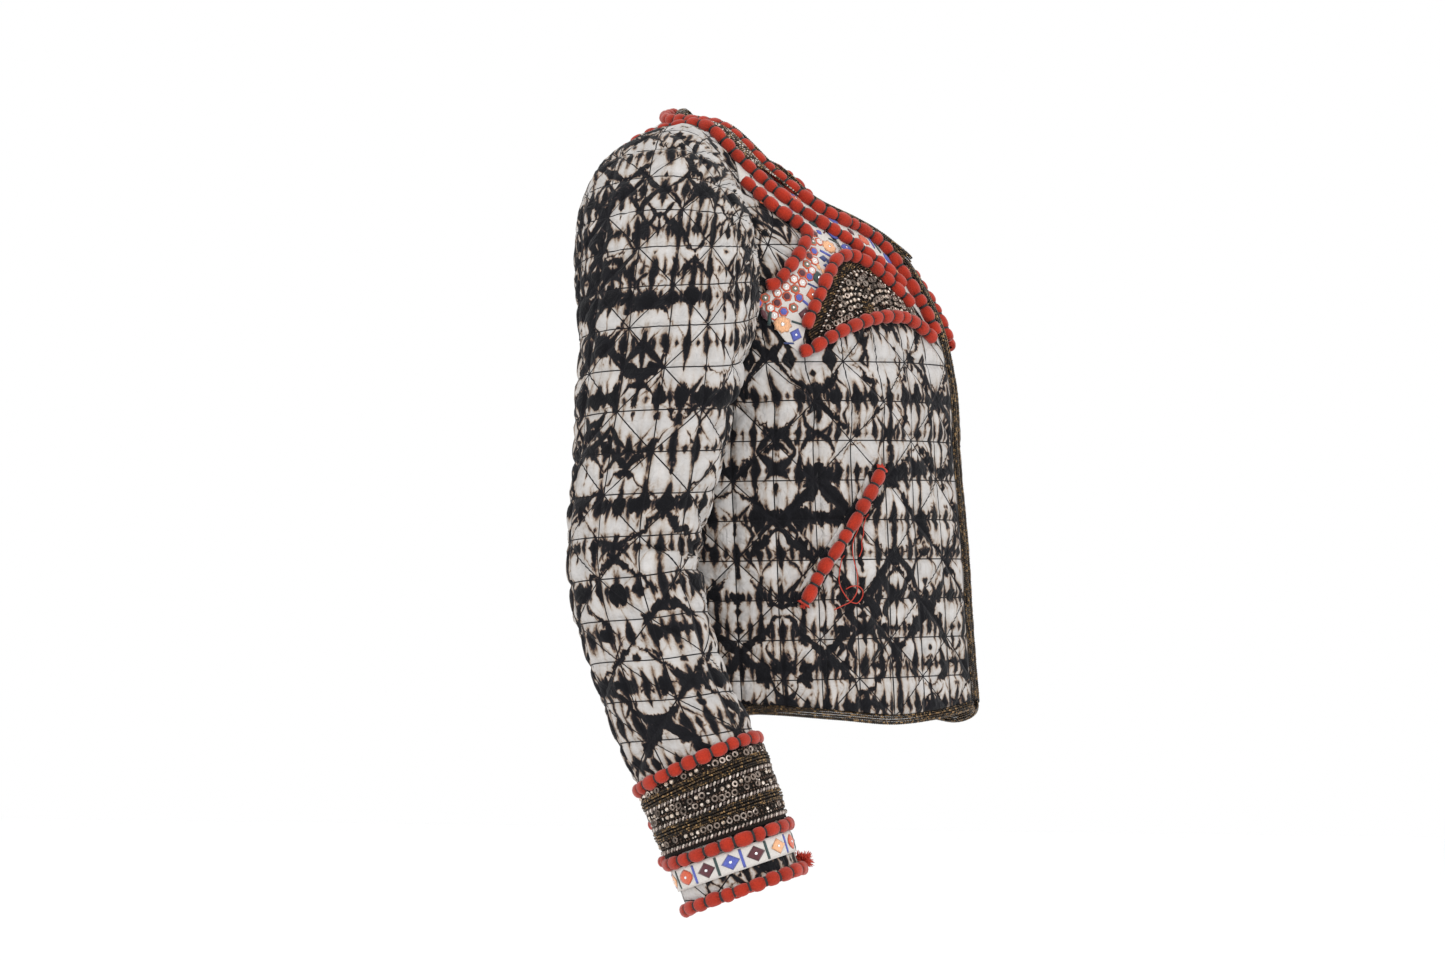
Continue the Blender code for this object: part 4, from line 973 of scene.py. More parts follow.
def puff_cord(name, path, chance, ring=False, tied=False, puff=PUFF_LENGTH, flat=1.0):
    """A cord of stuffed cloth tied off into uneven puffs. Returns it and its ties."""
    points, ways = (np.concatenate([rows, rows[:1]]) for rows in path) if ring else path
    total = lengths(points)[-1]
    count = max(FEWEST_PUFFS, round(total / (puff * MM)))
    ends = np.arange(count + 1) / count
    ends[1:-1] += np.array([chance.uniform(-TIE_STRAY, TIE_STRAY) for _ in range(count - 1)]) / count
    size = np.array([chance.uniform(*PUFF_SIZES) for _ in range(count)]) * PUFF_WIDTH / 2
    share = 0.5 - 0.5 * np.cos(np.linspace(0, math.pi, PUFF_ROWS + 1))
    full = GROOVE + (1 - GROOVE) * (1 - np.abs(2 * share - 1) ** 2.5) ** 0.7
    tie = TIE_WIDTH / 2 * MM / total
    where = (ends[:-1, None] + tie + (np.diff(ends)[:, None] - 2 * tie) * share).ravel()
    radius = (full * size[:, None]).ravel()
    puffs = (np.arange(count)[:, None] + share).ravel()
    if not ring and not tied:
        radius[[0, -1]] *= END_GROOVE
    centre, out, forward = along_path(points, ways, where * total)
    beside = np.cross(forward, out)
    shift = np.array([chance.uniform(-PUFF_LEAN, PUFF_LEAN) for _ in range(count)])
    shift = np.repeat(shift, PUFF_ROWS + 1) * np.tile(np.sin(math.pi * share), count)
    centre = centre + beside * shift[:, None] * MM
    turn = np.linspace(0, 2 * math.pi, CORD_COLUMNS + 1)[None, :, None]
    round_way = flat * out[:, None] * np.cos(turn) + beside[:, None] * np.sin(turn)
    grid = centre[:, None] + round_way * radius[:, None, None] * MM
    close_seam(grid)
    if ring:
        grid, round_way = (np.concatenate([rows, rows[:1]]) for rows in (grid, round_way))
        puffs = np.append(puffs, count)
    maps = {"puff": grid_map(np.linspace(0, 1, CORD_COLUMNS + 1), puffs)}
    made = sheet_mesh(name, grid, grid + round_way, maps, closed=True)
    first, last = (0, -1) if ring else (0, None) if tied else (1, -1)
    groove = np.minimum(np.append(size, size[0]), np.insert(size, 0, size[-1]))[first:last] * GROOVE
    spots = zip(*along_path(points, ways, ends[first:last] * total), groove)
    return made, [
        placed(centre, forward, out, (reach * flat, reach, TIE_WIDTH))
        for centre, out, forward, reach in spots]


def grid_map(across, down):
    """A map of a value across a grid and a value down it."""
    return np.stack(np.broadcast_arrays(across[None, :], down[:, None]), axis=-1)


def shape_mesh(name, build):
    """A small mesh to be repeated, made by bmesh operators."""
    mesh = bmesh.new()
    build(mesh)
    data = bpy.data.meshes.new(name)
    mesh.to_mesh(data)
    mesh.free()
    return data


def strew(name, items):
    """One piece of many small shapes, each given with its matrix."""
    mesh = bmesh.new()
    copies = {}
    for shape, place in items:
        if shape.name not in copies:
            start = np.empty(len(shape.vertices) * 3)
            shape.vertices.foreach_get("co", start)
            copies[shape.name] = shape.copy(), start.reshape(-1, 3)
        copy, start = copies[shape.name]
        copy.vertices.foreach_set("co", (start @ place[:3, :3].T + place[:3, 3]).ravel())
        mesh.from_mesh(copy)
    for copy, _ in copies.values():
        bpy.data.meshes.remove(copy)
    return shown(name, mesh)


def tie_shape(mesh):
    """A flat wrap of thread, one metre in radius and wide before it is placed."""
    bmesh.ops.create_cone(mesh, segments=12, radius1=1.0, radius2=1.0, depth=1.0, cap_ends=False)
    upright = [e for e in mesh.edges if abs(e.verts[0].co.z - e.verts[1].co.z) > 0.5]
    bmesh.ops.subdivide_edges(mesh, edges=upright, cuts=1)
    for vertex in mesh.verts:
        rise = 1.2 if abs(vertex.co.z) < 0.1 else 1.06
        vertex.co.x *= rise
        vertex.co.y *= rise


def tube(name, points, width):
    """A thin thread along a line of points, in metres."""
    turn = np.linspace(0, 2 * math.pi, 6)
    along = unit(np.gradient(points, axis=0))
    beside = unit(np.cross(along, (0.31, 0.42, 0.85)))
    over = np.cross(along, beside)
    round_way = beside[:, None] * np.cos(turn)[None, :, None] + over[:, None] * np.sin(turn)[None, :, None]
    grid = points[:, None] + round_way * width / 2 * MM
    close_seam(grid)
    maps = {"thread": grid_map(turn, lengths(points))}
    return sheet_mesh(name, grid, grid + round_way, maps, closed=True)


def bead_shape(mesh):
    """A bead one across, cut in facets."""
    bmesh.ops.create_icosphere(mesh, subdivisions=1, radius=0.5)


def under_shape(mesh):
    """A plainer bead, for the row that only shows between others."""
    bmesh.ops.create_uvsphere(mesh, u_segments=4, v_segments=2, radius=0.6)


def ring_shape(mesh):
    """A cup sequin with a hole, flat below."""
    bmesh.ops.create_circle(mesh, segments=10, radius=0.5)
    outer = list(mesh.edges)
    for scale, height in ((0.92, 0.28), (0.55, 0.22), (0.36, -0.02)):
        grown = bmesh.ops.extrude_edge_only(mesh, edges=outer)["geom"]
        ring = [v for v in grown if isinstance(v, bmesh.types.BMVert)]
        outer = [e for e in grown if isinstance(e, bmesh.types.BMEdge) and all(v in ring for v in e.verts)]
        for vertex in ring:
            flat = Vector((vertex.co.x, vertex.co.y, 0)).normalized() * 0.5 * scale
            vertex.co = (flat.x, flat.y, height)
    bmesh.ops.recalc_face_normals(mesh, faces=mesh.faces)
    mesh.faces.ensure_lookup_table()
    if mesh.faces[0].normal.dot(mesh.faces[0].calc_center_median()) < 0:
        bmesh.ops.reverse_faces(mesh, faces=mesh.faces)


def stone_shape(mesh):
    """A cut stone: a girdle, a crown and a table."""
    bmesh.ops.create_cone(mesh, segments=8, radius1=0.5, radius2=0.26, depth=0.35, cap_ends=True)
    bmesh.ops.translate(mesh, verts=mesh.verts, vec=(0, 0, 0.175))


def flare_shape(mesh):
    """The raw end of a cord, flared past its tie."""
    bmesh.ops.create_cone(mesh, segments=14, radius1=0.30, radius2=0.5, depth=1.0, cap_ends=True)


def placed(centre, out, forward, size):
    """Matrix that puts a shape at a point, its own Z out and its X along; size in millimetres."""
    made = np.eye(4)
    for k, way in enumerate((forward, np.cross(out, forward), out)):
        made[:3, k] = way * size[k] * MM
    made[:3, 3] = centre
    return made


def turned(out, forward, degrees):
    """A way along the cloth, turned about the way out."""
    angle = math.radians(degrees)
    return forward * math.cos(angle) + np.cross(out, forward) * math.sin(angle)


def raised(place, by):
    """A point with its ways, moved out by so many millimetres."""
    centre, out, forward = place
    return centre + out * by * MM, out, forward


def put(found, kind, shape, place, size):
    """Adds a small shape to the ones of its kind, at a point with its ways."""
    found.setdefault(kind, []).append((shape, placed(*place, size)))


def braid_beads(path, shape, width, lift, rise, chance, tilt=NO_TILT):
    """Beads of a rounded herringbone braid that starts at an edge and runs beside it. A rise of
    nothing makes a flat layer."""
    points, ways, aways = path
    total = lengths(points)[-1]
    count = int(total / (BEAD_STEP * MM))
    arc = width if rise == 0 else math.pi * math.sqrt((width * width / 4 + rise * rise) / 2)
    columns = max(3, round(arc / BEAD_STEP))
    where = (np.arange(count) + 0.5) / count
    centre, out, forward = along_path(points, ways, where * total)
    away = unit(along_path(points, aways, where * total)[1])
    leans = np.radians(np.interp(where, *np.array(tilt, float).T))
    items = []
    for row, lean in enumerate(leans):
        flat = away[row] * math.cos(lean) + out[row] * math.sin(lean)
        up = out[row] * math.cos(lean) - away[row] * math.sin(lean)
        for column in range(columns):
            share = (column + 0.5) / columns
            turn = math.pi * share
            odd = column % 2
            offset = width * (share if rise == 0 else (1 - math.cos(turn)) / 2)
            high = lift + rise * math.sin(turn) + chance.uniform(-BEAD_STRAY, BEAD_STRAY)
            spot = centre[row] + (flat * offset + up * high) * MM
            spot = spot + forward[row] * odd * BEAD_STEP / 2 * MM
            slant = (BRAID_SLANT if odd else -BRAID_SLANT) + chance.uniform(-SLANT_STRAY, SLANT_STRAY)
            items.append((shape, placed(spot, out[row], turned(out[row], forward[row], slant), BRAID_BEAD)))
    return items


def edge_path(places, side, inside):
    """Points, way out and way off the cloth along an edge of a panel."""
    points = at_places(places, 0.0, side)
    ways = unit(at_places(places, 1.0, side) - points)
    along = unit(np.gradient(points, axis=0))
    away = np.cross(ways, along)
    off = points - at_places(inside, 0.0, side)
    return points, ways, unit(away) * np.sign(np.sum(away * off, axis=1, keepdims=True))


def strip_places(first, second):
    """A grid of places between two lines of the yoke, a little in from both."""
    shares = np.linspace(0, 1, max(8, round(yoke_length(first) / STRIP_CELL)))
    a, b = line(first, shares), line(second, shares)
    gap = np.linalg.norm((a - b) * YOKE_MM, axis=1)
    t = np.clip(STRIP_INSET / np.maximum(gap, TINY), 0, MOST_INSET)[:, None]
    t = t + (1 - 2 * t) * np.linspace(0, 1, STRIP_COLUMNS + 1)[None, :]
    return a[:, None] + (b - a)[:, None] * t[..., None]


def strip(name, first, second, side):
    """A cut shape of cloth laid on the yoke between two lines."""
    places = strip_places(first, second)
    points, above = at_places(places, YOKE_PATCH, side), at_places(places, YOKE_PATCH + 1, side)
    maps = {"dye": np.stack([along_rows(points), along_columns(points)], axis=-1)}
    made = sheet_mesh(name, points, above, maps)
    return thicken(made, PATCH)


def sleeve_band(name, top, bottom, side):
    """A band of cloth round the sleeve, between two heights above its edge."""
    rounds = np.linspace(0, 1, ROUND_STEPS + 1)
    up = np.linspace(top, bottom, max(3, round((top - bottom) / BAND_CELL)))
    along = (ARM_LENGTH[side] - up)[:, None]
    points, above = sleeve(rounds, along, CUFF_PATCH, side), sleeve(rounds, along, CUFF_PATCH + 1, side)
    close_seam(points)
    maps = {"dye": np.stack(np.broadcast_arrays(along_rows(points), along), axis=-1)}
    made = sheet_mesh(name, points, above, maps, closed=True)
    return thicken(made, PATCH)


def yoke_path(rows, side, lift):
    """Points and ways out along a line of the yoke."""
    places = resample(rows, side, CORD_STEP)
    points = at_places(places, lift, side)
    return points, unit(at_places(places, lift + 1, side) - points)


def cuff_path(up, side, lift):
    """Points and ways out round a sleeve, at a height above its edge."""
    rounds = np.linspace(0, 1, ROUND_STEPS, endpoint=False)
    along = ARM_LENGTH[side] - up
    points = sleeve(rounds, along, lift, side)
    return points, unit(sleeve(rounds, along, lift + 1, side) - points)


# Where bands of dye cross the cloth: millimetres down, half height and strength
BODY_DYE = (
    (-440, 5, 0.8), (-382, 6, 0.9), (-330, 5, 0.7), (-276, 7, 1.0), (-222, 6, 0.9), (-168, 5, 0.7),
    (-118, 7, 1.0), (-66, 5, 0.8), (-18, 5, 0.7), (34, 5, 0.8), (84, 7, 0.9), (128, 4, 0.6),
    (166, 5, 0.7), (224, 7, 0.9), (252, 3, 0.5), (281, 6, 0.9), (318, 6, 0.9), (346, 3, 0.5),
    (380, 5, 0.8), (405, 3, 0.5), (434, 6, 0.9), (466, 3, 0.6),
)
SLEEVE_DYE = (
    (-226, 4, 0.7), (-204, 5, 0.8), (-164, 7, 1.0), (-128, 3, 0.7), (-94, 4, 0.6), (-72, 9, 1.0),
    (-36, 4, 0.7), (6, 9, 1.0), (44, 5, 0.9), (86, 9, 1.0), (118, 5, 0.8), (152, 8, 1.0), (186, 5, 0.8),
    (226, 7, 0.9), (258, 3, 0.5), (290, 4, 0.6), (340, 4, 0.7), (372, 3, 0.4), (412, 3, 0.3),
)
# Half a pleat and half a fold of the tied cloth, in millimetres round the body
PLEAT = 8.3
FOLD = 33.2


def dye_map(v, bands):
    """How far each point lies from the nearest band of dye, and how strong that band is."""
    rows = np.array(bands, float)
    apart = v[..., None] - rows[:, 0]
    near = np.argmin(np.abs(apart), axis=-1)
    distance = np.take_along_axis(apart, near[..., None], axis=-1)[..., 0]
    return np.stack([np.abs(distance), rows[near, 1] * rows[near, 2]], axis=-1)


def quilted_cotton():
    """Woven cotton folded, tied and dyed black, then wadded and sewn in squares with black thread. It
    is matt and soft, cream where the folds kept the dye out, with brown edges where it bled."""
    made = plain("shibori quilted cotton", "#D9D0C8", 0.88)
    tree = made.node_tree
    place = add(tree, "UVMap", uv_map="dye")
    bleed = add(tree, "TexNoise", {"Vector": place, "Scale": 0.035, "Detail": 2.0}, take="Color")
    bleed = add(tree, "VectorMath MULTIPLY_ADD", bleed, (7.0, 9.0, 0.0), (-3.5, -4.5, 0.0))
    moved = add(tree, "VectorMath ADD", place, bleed)
    u = add(tree, "SeparateXYZ", moved, take="X")
    v = add(tree, "SeparateXYZ", moved, take="Y")
    band = add(tree, "UVMap", uv_map="band")
    away = add(tree, "SeparateXYZ", band, take="X")
    high = add(tree, "SeparateXYZ", band, take="Y")
    pleat = add(tree, "Math PINGPONG", u, PLEAT)
    fold = add(tree, "Math PINGPONG", u, FOLD)
    slow = add(tree, "Math MULTIPLY", u, 0.006)
    folded = add(tree, "CombineXYZ", fold, v, slow)
    # Noise that the folds mirror, as they lay on each other in the dye
    blots, reach, cover, pinch, arched = (
        add(tree, "TexNoise", {
            "Vector": add(tree, "VectorMath MULTIPLY", folded, stretch), "Scale": 1.0, **more})
        for stretch, more in (
            ((0.085, 0.05, 1.0), {"Detail": 3.0, "Roughness": 0.6, "Distortion": 0.6}),
            ((0.12, 0.021, 1.3), {"Detail": 1.0}),
            ((0.034, 0.030, 1.7), {"Detail": 2.0}),
            ((0.11, 0.085, 2.1), {"Detail": 1.0}),
            ((0.030, 0.024, 2.3), {"Detail": 0.0}),
        ))
    # The band itself, scalloped by the pleats and let in and out by the blots
    scallop = add(tree, "Math MULTIPLY_ADD", add(tree, "Math POWER", pleat, 2.0), -0.085, 1.0)
    core = add(tree, "Math MULTIPLY_ADD", blots, 30.0, -15.0)
    core = add(tree, "Math ADD", core, add(tree, "Math MULTIPLY_ADD", cover, 30.0, -18.8))
    core = add(tree, "Math ADD", add(tree, "Math ADD", core, scallop), high)
    core = add(tree, "Math SUBTRACT", core, away)
    # Teeth of dye at every pleat, long at some and short at others
    tooth = add(tree, "Math MULTIPLY_ADD", reach, 60.0, -19.0)
    tooth = add(tree, "Math MAXIMUM", tooth, 3.0)
    tooth = add(tree, "Math DIVIDE", away, tooth)
    tooth = add(tree, "Math SUBTRACT", 1.0, tooth)
    tooth = add(tree, "Math MULTIPLY", tooth, 3.7)
    tooth = add(tree, "Math SUBTRACT", tooth, pleat)
    # Short teeth in the middle of the ovals between
    point = add(tree, "Math MULTIPLY_ADD", cover, 44.0, -15.0)
    point = add(tree, "Math MAXIMUM", point, 2.0)
    point = add(tree, "Math SUBTRACT", 1.0, add(tree, "Math DIVIDE", away, point))
    point = add(tree, "Math MULTIPLY", point, 1.9)
    point = add(tree, "Math SUBTRACT", point, add(tree, "Math SUBTRACT", PLEAT, pleat))
    # Spindles where a pleat was pinched between the bands
    pinch = add(tree, "Math MULTIPLY_ADD", pinch, 34.0, -19.4)
    pinch = add(tree, "Math MINIMUM", pinch, 2.8)
    pinch = add(tree, "Math SUBTRACT", pinch, add(tree, "Math MULTIPLY", pleat, 1.2))
    # Slanted strokes that meet at the folds
    bend = add(tree, "Math MULTIPLY_ADD", blots, 30.0, -15.0)
    rise = add(tree, "Math PINGPONG", add(tree, "Math ADD", v, 8.0), FOLD)
    stroke = add(tree, "Math ADD", add(tree, "Math SUBTRACT", fold, rise), bend)
    stroke = add(tree, "Math ABSOLUTE", stroke)
    stroke = add(tree, "Math SUBTRACT", add(tree, "Math MULTIPLY_ADD", cover, 24.0, -9.6), stroke)
    stroke = add(tree, "Math MINIMUM", stroke, 1.8)
    # Arches over the ovals, two to a fold
    bow = add(tree, "Math PINGPONG", u, PLEAT * 2)
    lean = add(tree, "Math MULTIPLY_ADD", add(tree, "Math MULTIPLY", bow, bow), 0.045, add(
        tree, "Math MULTIPLY", bow, 0.35))
    arch = add(tree, "Math ADD", away, add(tree, "Math MULTIPLY", bend, 0.3))
    arch = add(tree, "Math PINGPONG", arch, 21.0)
    arch = add(tree, "Math ABSOLUTE", add(tree, "Math SUBTRACT", arch, lean))
    arch = add(tree, "Math SUBTRACT", add(tree, "Math MULTIPLY_ADD", arched, 22.0, -11.6), arch)
    arch = add(tree, "Math MINIMUM", arch, 1.3)
    # All of them together, frayed along the threads, from the ground's colour to black
    dye = core
    for marks in (tooth, point, arch, pinch, stroke):
        dye = add(tree, "Math MAXIMUM", dye, marks)
    fray = add(tree, "TexNoise", {
        "Vector": add(tree, "VectorMath MULTIPLY", moved, (0.34, 0.16, 1.0)), "Scale": 1.0, "Detail": 4.0,
        "Roughness": 0.65})
    dye = add(tree, "Math ADD", dye, add(tree, "Math MULTIPLY_ADD", fray, 5.0, -2.5))
    dye = add(tree, "MapRange", dye, -6.0, 3.0, 0.0, 1.0)
    ramp = add_ramp(tree, dye, (
        (0.0, "#BEBBB9"), (0.36, "#B9B4B0"), (0.52, "#A79C92"), (0.60, "#7A6553"), (0.66, "#3A3030"),
        (0.72, "#17171B"), (1.0, "#0D0D11")))
    tint = add(tree, "TexNoise", {"Vector": place, "Scale": 0.06, "Detail": 3.0})
    tint = add(tree, "MapRange", tint, 0.3, 0.7, 0.82, 1.06)
    colour = add(tree, "VectorMath SCALE", ramp, {"Scale": tint})
    # Quilting thread, in the squares' own map
    cells = add(tree, "UVMap", uv_map="quilt")
    a = add(tree, "SeparateXYZ", cells, take="X")
    b = add(tree, "SeparateXYZ", cells, take="Y")
    near = add(tree, "Math MINIMUM", add(tree, "Math PINGPONG", a, 0.5), add(tree, "Math PINGPONG", b, 0.5))
    for way in ("ADD", "SUBTRACT"):
        slant = add(tree, "Math MULTIPLY", add(tree, "Math " + way, a, b), 0.5)
        slant = add(tree, "Math MULTIPLY", add(tree, "Math PINGPONG", slant, 0.5), math.sqrt(2))
        near = add(tree, "Math MINIMUM", near, slant)
    near = add(tree, "Math MULTIPLY", near, BODY_STEP[0])
    thread = add(tree, "MapRange", near, 0.35, 0.65, 1.0, 0.0)
    colour = add(tree, "Mix", thread, None, None, None, None, None, colour, srgb("#141317"),
                 data_type="RGBA", take=2)
    # Weave, puckers and the groove along each seam
    weave = add(tree, "TexNoise", {
        "Vector": add(tree, "TexCoord", take="Object"), "Scale": 700.0, "Detail": 2.0})
    pucker = add(tree, "TexNoise", {"Vector": place, "Scale": 0.11, "Detail": 3.0, "Distortion": 1.2})
    height = add(tree, "Math MULTIPLY", weave, 0.0003)
    height = add(tree, "Math MULTIPLY_ADD", pucker, 0.0030, height)
    groove = add(tree, "MapRange", near, 0.0, 3.2, -0.0014, 0.0)
    height = add(tree, "Math ADD", height, groove)
    return coat(made, {
        "Base Color": colour,
        "Normal": add(tree, "Bump", {"Strength": 0.9, "Distance": 1.0, "Height": height}),
        "Sheen Weight": 0.06,
        "Sheen Roughness": 0.5,
        "Specular IOR Level": 0.15,
    })


# Embroidery on the chest band of each side: shape, share across and millimetres over, its length and
# width, its turn from straight down, and its thread
MOTIF_COLUMNS = ("shape", "across", "over", "length", "width", "turn", "thread")
CHEST_MOTIFS = (
    ("petal", 47.1, 86, 12.0, 8.6, -76, "pine"), ("petal", 47.7, 93, 6.0, 5.0, -40, "blue"),
    ("petal", 41.0, 95, 12.5, 9.0, -65, "blue"), ("petal", 50.1, 95, 6.0, 4.6, -20, "maroon"),
    ("bar", 44.3, 92, 8.5, 1.5, 55, "maroon"), ("flower", 46.8, 105, 15.5, 13.5, -74, "peach"),
    ("bar", 49.7, 111, 12.5, 2.2, -56, "blue"), ("bar", 43.2, 100, 10.0, 1.6, -59, "pine"),
    ("diamond", 51.6, 115, 9.5, 6.6, -74, "navy"), ("diamond", 51.7, 121, 6.4, 4.8, -73, "navy"),
    ("diamond", 50.1, 118, 5.4, 5.8, -75, "navy"), ("petal", 38.4, 105, 13.5, 7.6, -83, "blue"),
    ("petal", 38.2, 99, 6.0, 4.4, -35, "orange"), ("petal", 54.9, 122, 6.4, 3.8, -11, "peach"),
    ("petal", 53.6, 126, 6.4, 3.8, -16, "peach"), ("petal", 56.4, 131, 12.5, 10.0, 10, "pine"),
    ("bar", 58.8, 138, 11.0, 1.6, -57, "navy"), ("diamond", 60.0, 145, 14.0, 12.0, 6, "orange"),
    ("bar", 62.8, 152, 9.0, 2.2, -39, "blue"), ("diamond", 64.3, 161, 13.6, 11.6, 22, "maroon"),
    ("bar", 67.4, 167, 10.0, 1.8, -63, "pine"), ("flower", 72.1, 168, 16.0, 15.0, -68, "peach"),
    ("bar", 75.5, 163, 12.0, 2.8, 22, "pine"), ("petal", 77.0, 160, 11.0, 4.6, -14, "maroon"),
    ("diamond", 68.7, 176, 12.0, 10.6, 32, "blue"), ("bar", 71.4, 182, 8.6, 1.5, -78, "navy"),
    ("petal", 62.0, 58, 9.0, 5.0, -30, "peach"), ("diamond", 59.0, 66, 7.0, 5.6, -30, "maroon"),
    ("petal", 55.0, 75, 9.0, 5.4, -40, "blue"), ("bar", 52.0, 81, 8.0, 1.6, 40, "pine"),
    ("bar", 62.0, 48, 8.0, 1.6, 30, "pine"), ("petal", 35.0, 110, 8.0, 4.4, -60, "maroon"),
)
CHEST_MIRRORS = (
    (46.8, 105, 2.6), (56.0, 131, 3.4), (60.0, 145, 2.8), (64.3, 161, 3.4), (72.1, 168, 3.6),
    (38.4, 105, 2.4), (68.7, 176, 2.4), (55.0, 75, 2.0),
)
# Six-sided patches in orange outlines beside the outer cord: across, over and thread
MOSAIC = (
    (50.6, 94, "maroon"), (53.1, 101, "olive"), (50.2, 101, "white"), (54.4, 109, "blue"),
    (57.0, 113, "maroon"), (55.6, 117, "white"), (59.0, 120, "olive"), (57.8, 125, "white"),
    (61.6, 127, "maroon"), (59.4, 130, "blue"), (62.4, 135, "white"), (65.0, 132, "white"),
    (65.4, 140, "olive"), (68.2, 138, "white"), (64.8, 147, "blue"), (68.6, 146, "maroon"),
    (71.4, 143, "white"), (72.2, 151, "maroon"), (74.6, 155, "white"), (75.5, 147, "olive"),
    (78.0, 151, "blue"), (70.8, 158, "blue"), (67.4, 155, "olive"), (74.0, 161, "white"),
    (65.0, 68, "olive"), (62.4, 74, "blue"), (59.4, 81, "white"), (56.4, 87, "maroon"),
)
# Along the neck strip: shape, millimetres on from the start of the repeat, share of the way across,
# length, width, turn from the strip's own way, and its thread
NECK_REPEAT = 44.0
NECK_MOTIFS = (
    ("flower", 5, 0.52, 12, 12, 0, "orange"), ("petal", 14, 0.30, 11, 5.0, 24, "pine"),
    ("petal", 16, 0.72, 11, 5.0, -24, "blue"), ("bar", 23, 0.5, 12, 1.8, 90, "pine"),
    ("petal", 30, 0.32, 11, 5.6, -30, "blue"), ("diamond", 31, 0.70, 10, 8, 0, "maroon"),
    ("petal", 40, 0.5, 12, 6, 6, "peach"),
)
# The repeat starts and ends so far from the ends of the strip, and leaves out its last share, its
# front, which has shapes of its own, and places too narrow for it. Between its edges the strip is
# wide enough for shapes of full size from so many millimetres on
NECK_START = 4.0
NECK_END = 20.0
NECK_LAST_SHARE = 0.97
NECK_FRONT_LEVEL = 60
NARROWEST_STRIP = 15
STRIP_EDGES = 9
FULL_SIZE_STRIP = 14
NECK_MIRROR = 2.6
MIRROR_HIGH = 0.4
# A patch of the mosaic in its outline, with a mirror on some, each turned its own way
MOSAIC_OUTLINE = (9.0, 9.0, 0.35)
MOSAIC_PATCH = (7.0, 7.0, 0.8)
MOSAIC_MIRROR = (2.4, 2.4, MIRROR_HIGH)
MOSAIC_TURN = 7
NECK_FRONT_MOTIFS = (
    ("petal", 33.7, 82, 12.5, 9.0, -62, "blue"), ("flower", 23.5, 97, 14.0, 13.0, -70, "orange"),
    ("bar", 19.6, 99, 13.0, 1.8, 18, "blue"), ("bar", 18.0, 103, 11.0, 2.6, 4, "pine"),
    ("petal", 16.0, 112, 13.0, 8.0, -4, "blue"), ("petal", 42.7, 65, 10.0, 6.0, -45, "peach"),
    ("petal", 28.4, 91, 8.6, 6.0, -15, "maroon"), ("petal", 38.0, 75, 8.0, 5.0, -50, "pine"),
    ("petal", 14.4, 124, 9.0, 5.0, 6, "peach"),
)
# Sewing threads that hang from the pocket, as places over the body
LOOSE_THREADS = {
    "first": (
        (53.1, 318), (54.7, 328), (56.0, 336), (56.4, 344), (56.0, 354), (55.2, 360), (54.6, 368),
        (54.9, 376), (56.2, 381), (57.4, 384), (60.0, 387), (62.5, 390)),
    "second": ((51.6, 316), (52.3, 326), (52.9, 334), (53.3, 342), (54.0, 349)),
    "loop": (
        (60.2, 348), (61.0, 360), (60.8, 370), (59.4, 378), (57.0, 384), (54.6, 385), (53.0, 380),
        (53.2, 375), (54.8, 372), (57.0, 372), (58.6, 374)),
}
# How far round each cuff, and how high above its edge, the frayed end of its lowest cord lies
TUFT_ROUND = 0.15
TUFT_UP = 11.0
# How many fibres stand out of one spot and how long they are, and a cut cord's flared end
CUFF_TUFT = (100, 11.0)
POCKET_TUFT = (24, 4.0)
FLARE = (6.4, 12.0, 2.6)
FLARE_PLACES = (0.8, 2.4)
LOOSE_WIDTH = 0.9
# Along the mirror band, a diamond with a mirror and a bar each so many millimetres, their sizes and
# the diamonds' threads
CUFF_REPEAT = 19.6
CUFF_DIAMOND = (12.6, 15.0, STITCH_HIGH)
CUFF_BAR = (14.5, 2.3, 0.6)
CUFF_MIRROR = (3.0, 2.6, MIRROR_HIGH)
CUFF_MOTIFS = ("orange", "maroon", "blue", "maroon", "peach")
# Up from the sleeve's edge: the braids' upper edges, the twisted rows and the strewn rows
CUFF_BRAIDS = (94.4, 67.6)
CUFF_TWISTS = (84.8, 69.4, 50.2)
CUFF_STREWN = (97.6, 80.0, 74.4, 56.4)
# How high the beads between the two upper cords are heaped over the shoulder
BEAD_HEAP = 5.0
# They lie a step apart, clear of both cords and between these millimetres over. Most are bronze
NAPE_EDGES = 10
NAPE_FIRST = 5.5
NAPE_STEP = 2.2
NAPE_FROM = -40
NAPE_TO = 24
MOST = 0.6
# Beads on the triangle, in millimetres: how high, the steps of the small and the large ones, where
# the first lie, the bronze border's width and the twisted line's place, and the bronze patch
BEADS_LIFT = YOKE_PATCH + 0.3
SEED_STEP = 1.75
STONE_STEP = 4.9
FIRST_BEAD = 3.5
BORDER_SHARES = (0.0, 0.45, 0.6, 1.0)
BORDER_WIDTHS = (12.0, 12.5, 9.5, 8.0)
TWIST_LINE = (14.2, 14.7, 11.6, 10.0)
PATCH_PLACE = (40.6, 154)
PATCH_REACH = 6.0
# The step of the bugles in that line, how clear of it the large ones lie, and what share of the
# places inside have a seed bead and what share of those is silver
LINE_STEP = 2.6
CLEAR_OF_LINE = 4
SEEDS_INSIDE = 0.38
SILVER_SEEDS = 0.08
# Embroidery floss
THREADS = {
    "blue": "#4A56A8", "navy": "#22356E", "pine": "#1F3A38", "peach": "#E2A97C", "orange": "#C9522A",
    "maroon": "#4E1420", "olive": "#6E6A58", "white": "#DCD6D0",
}


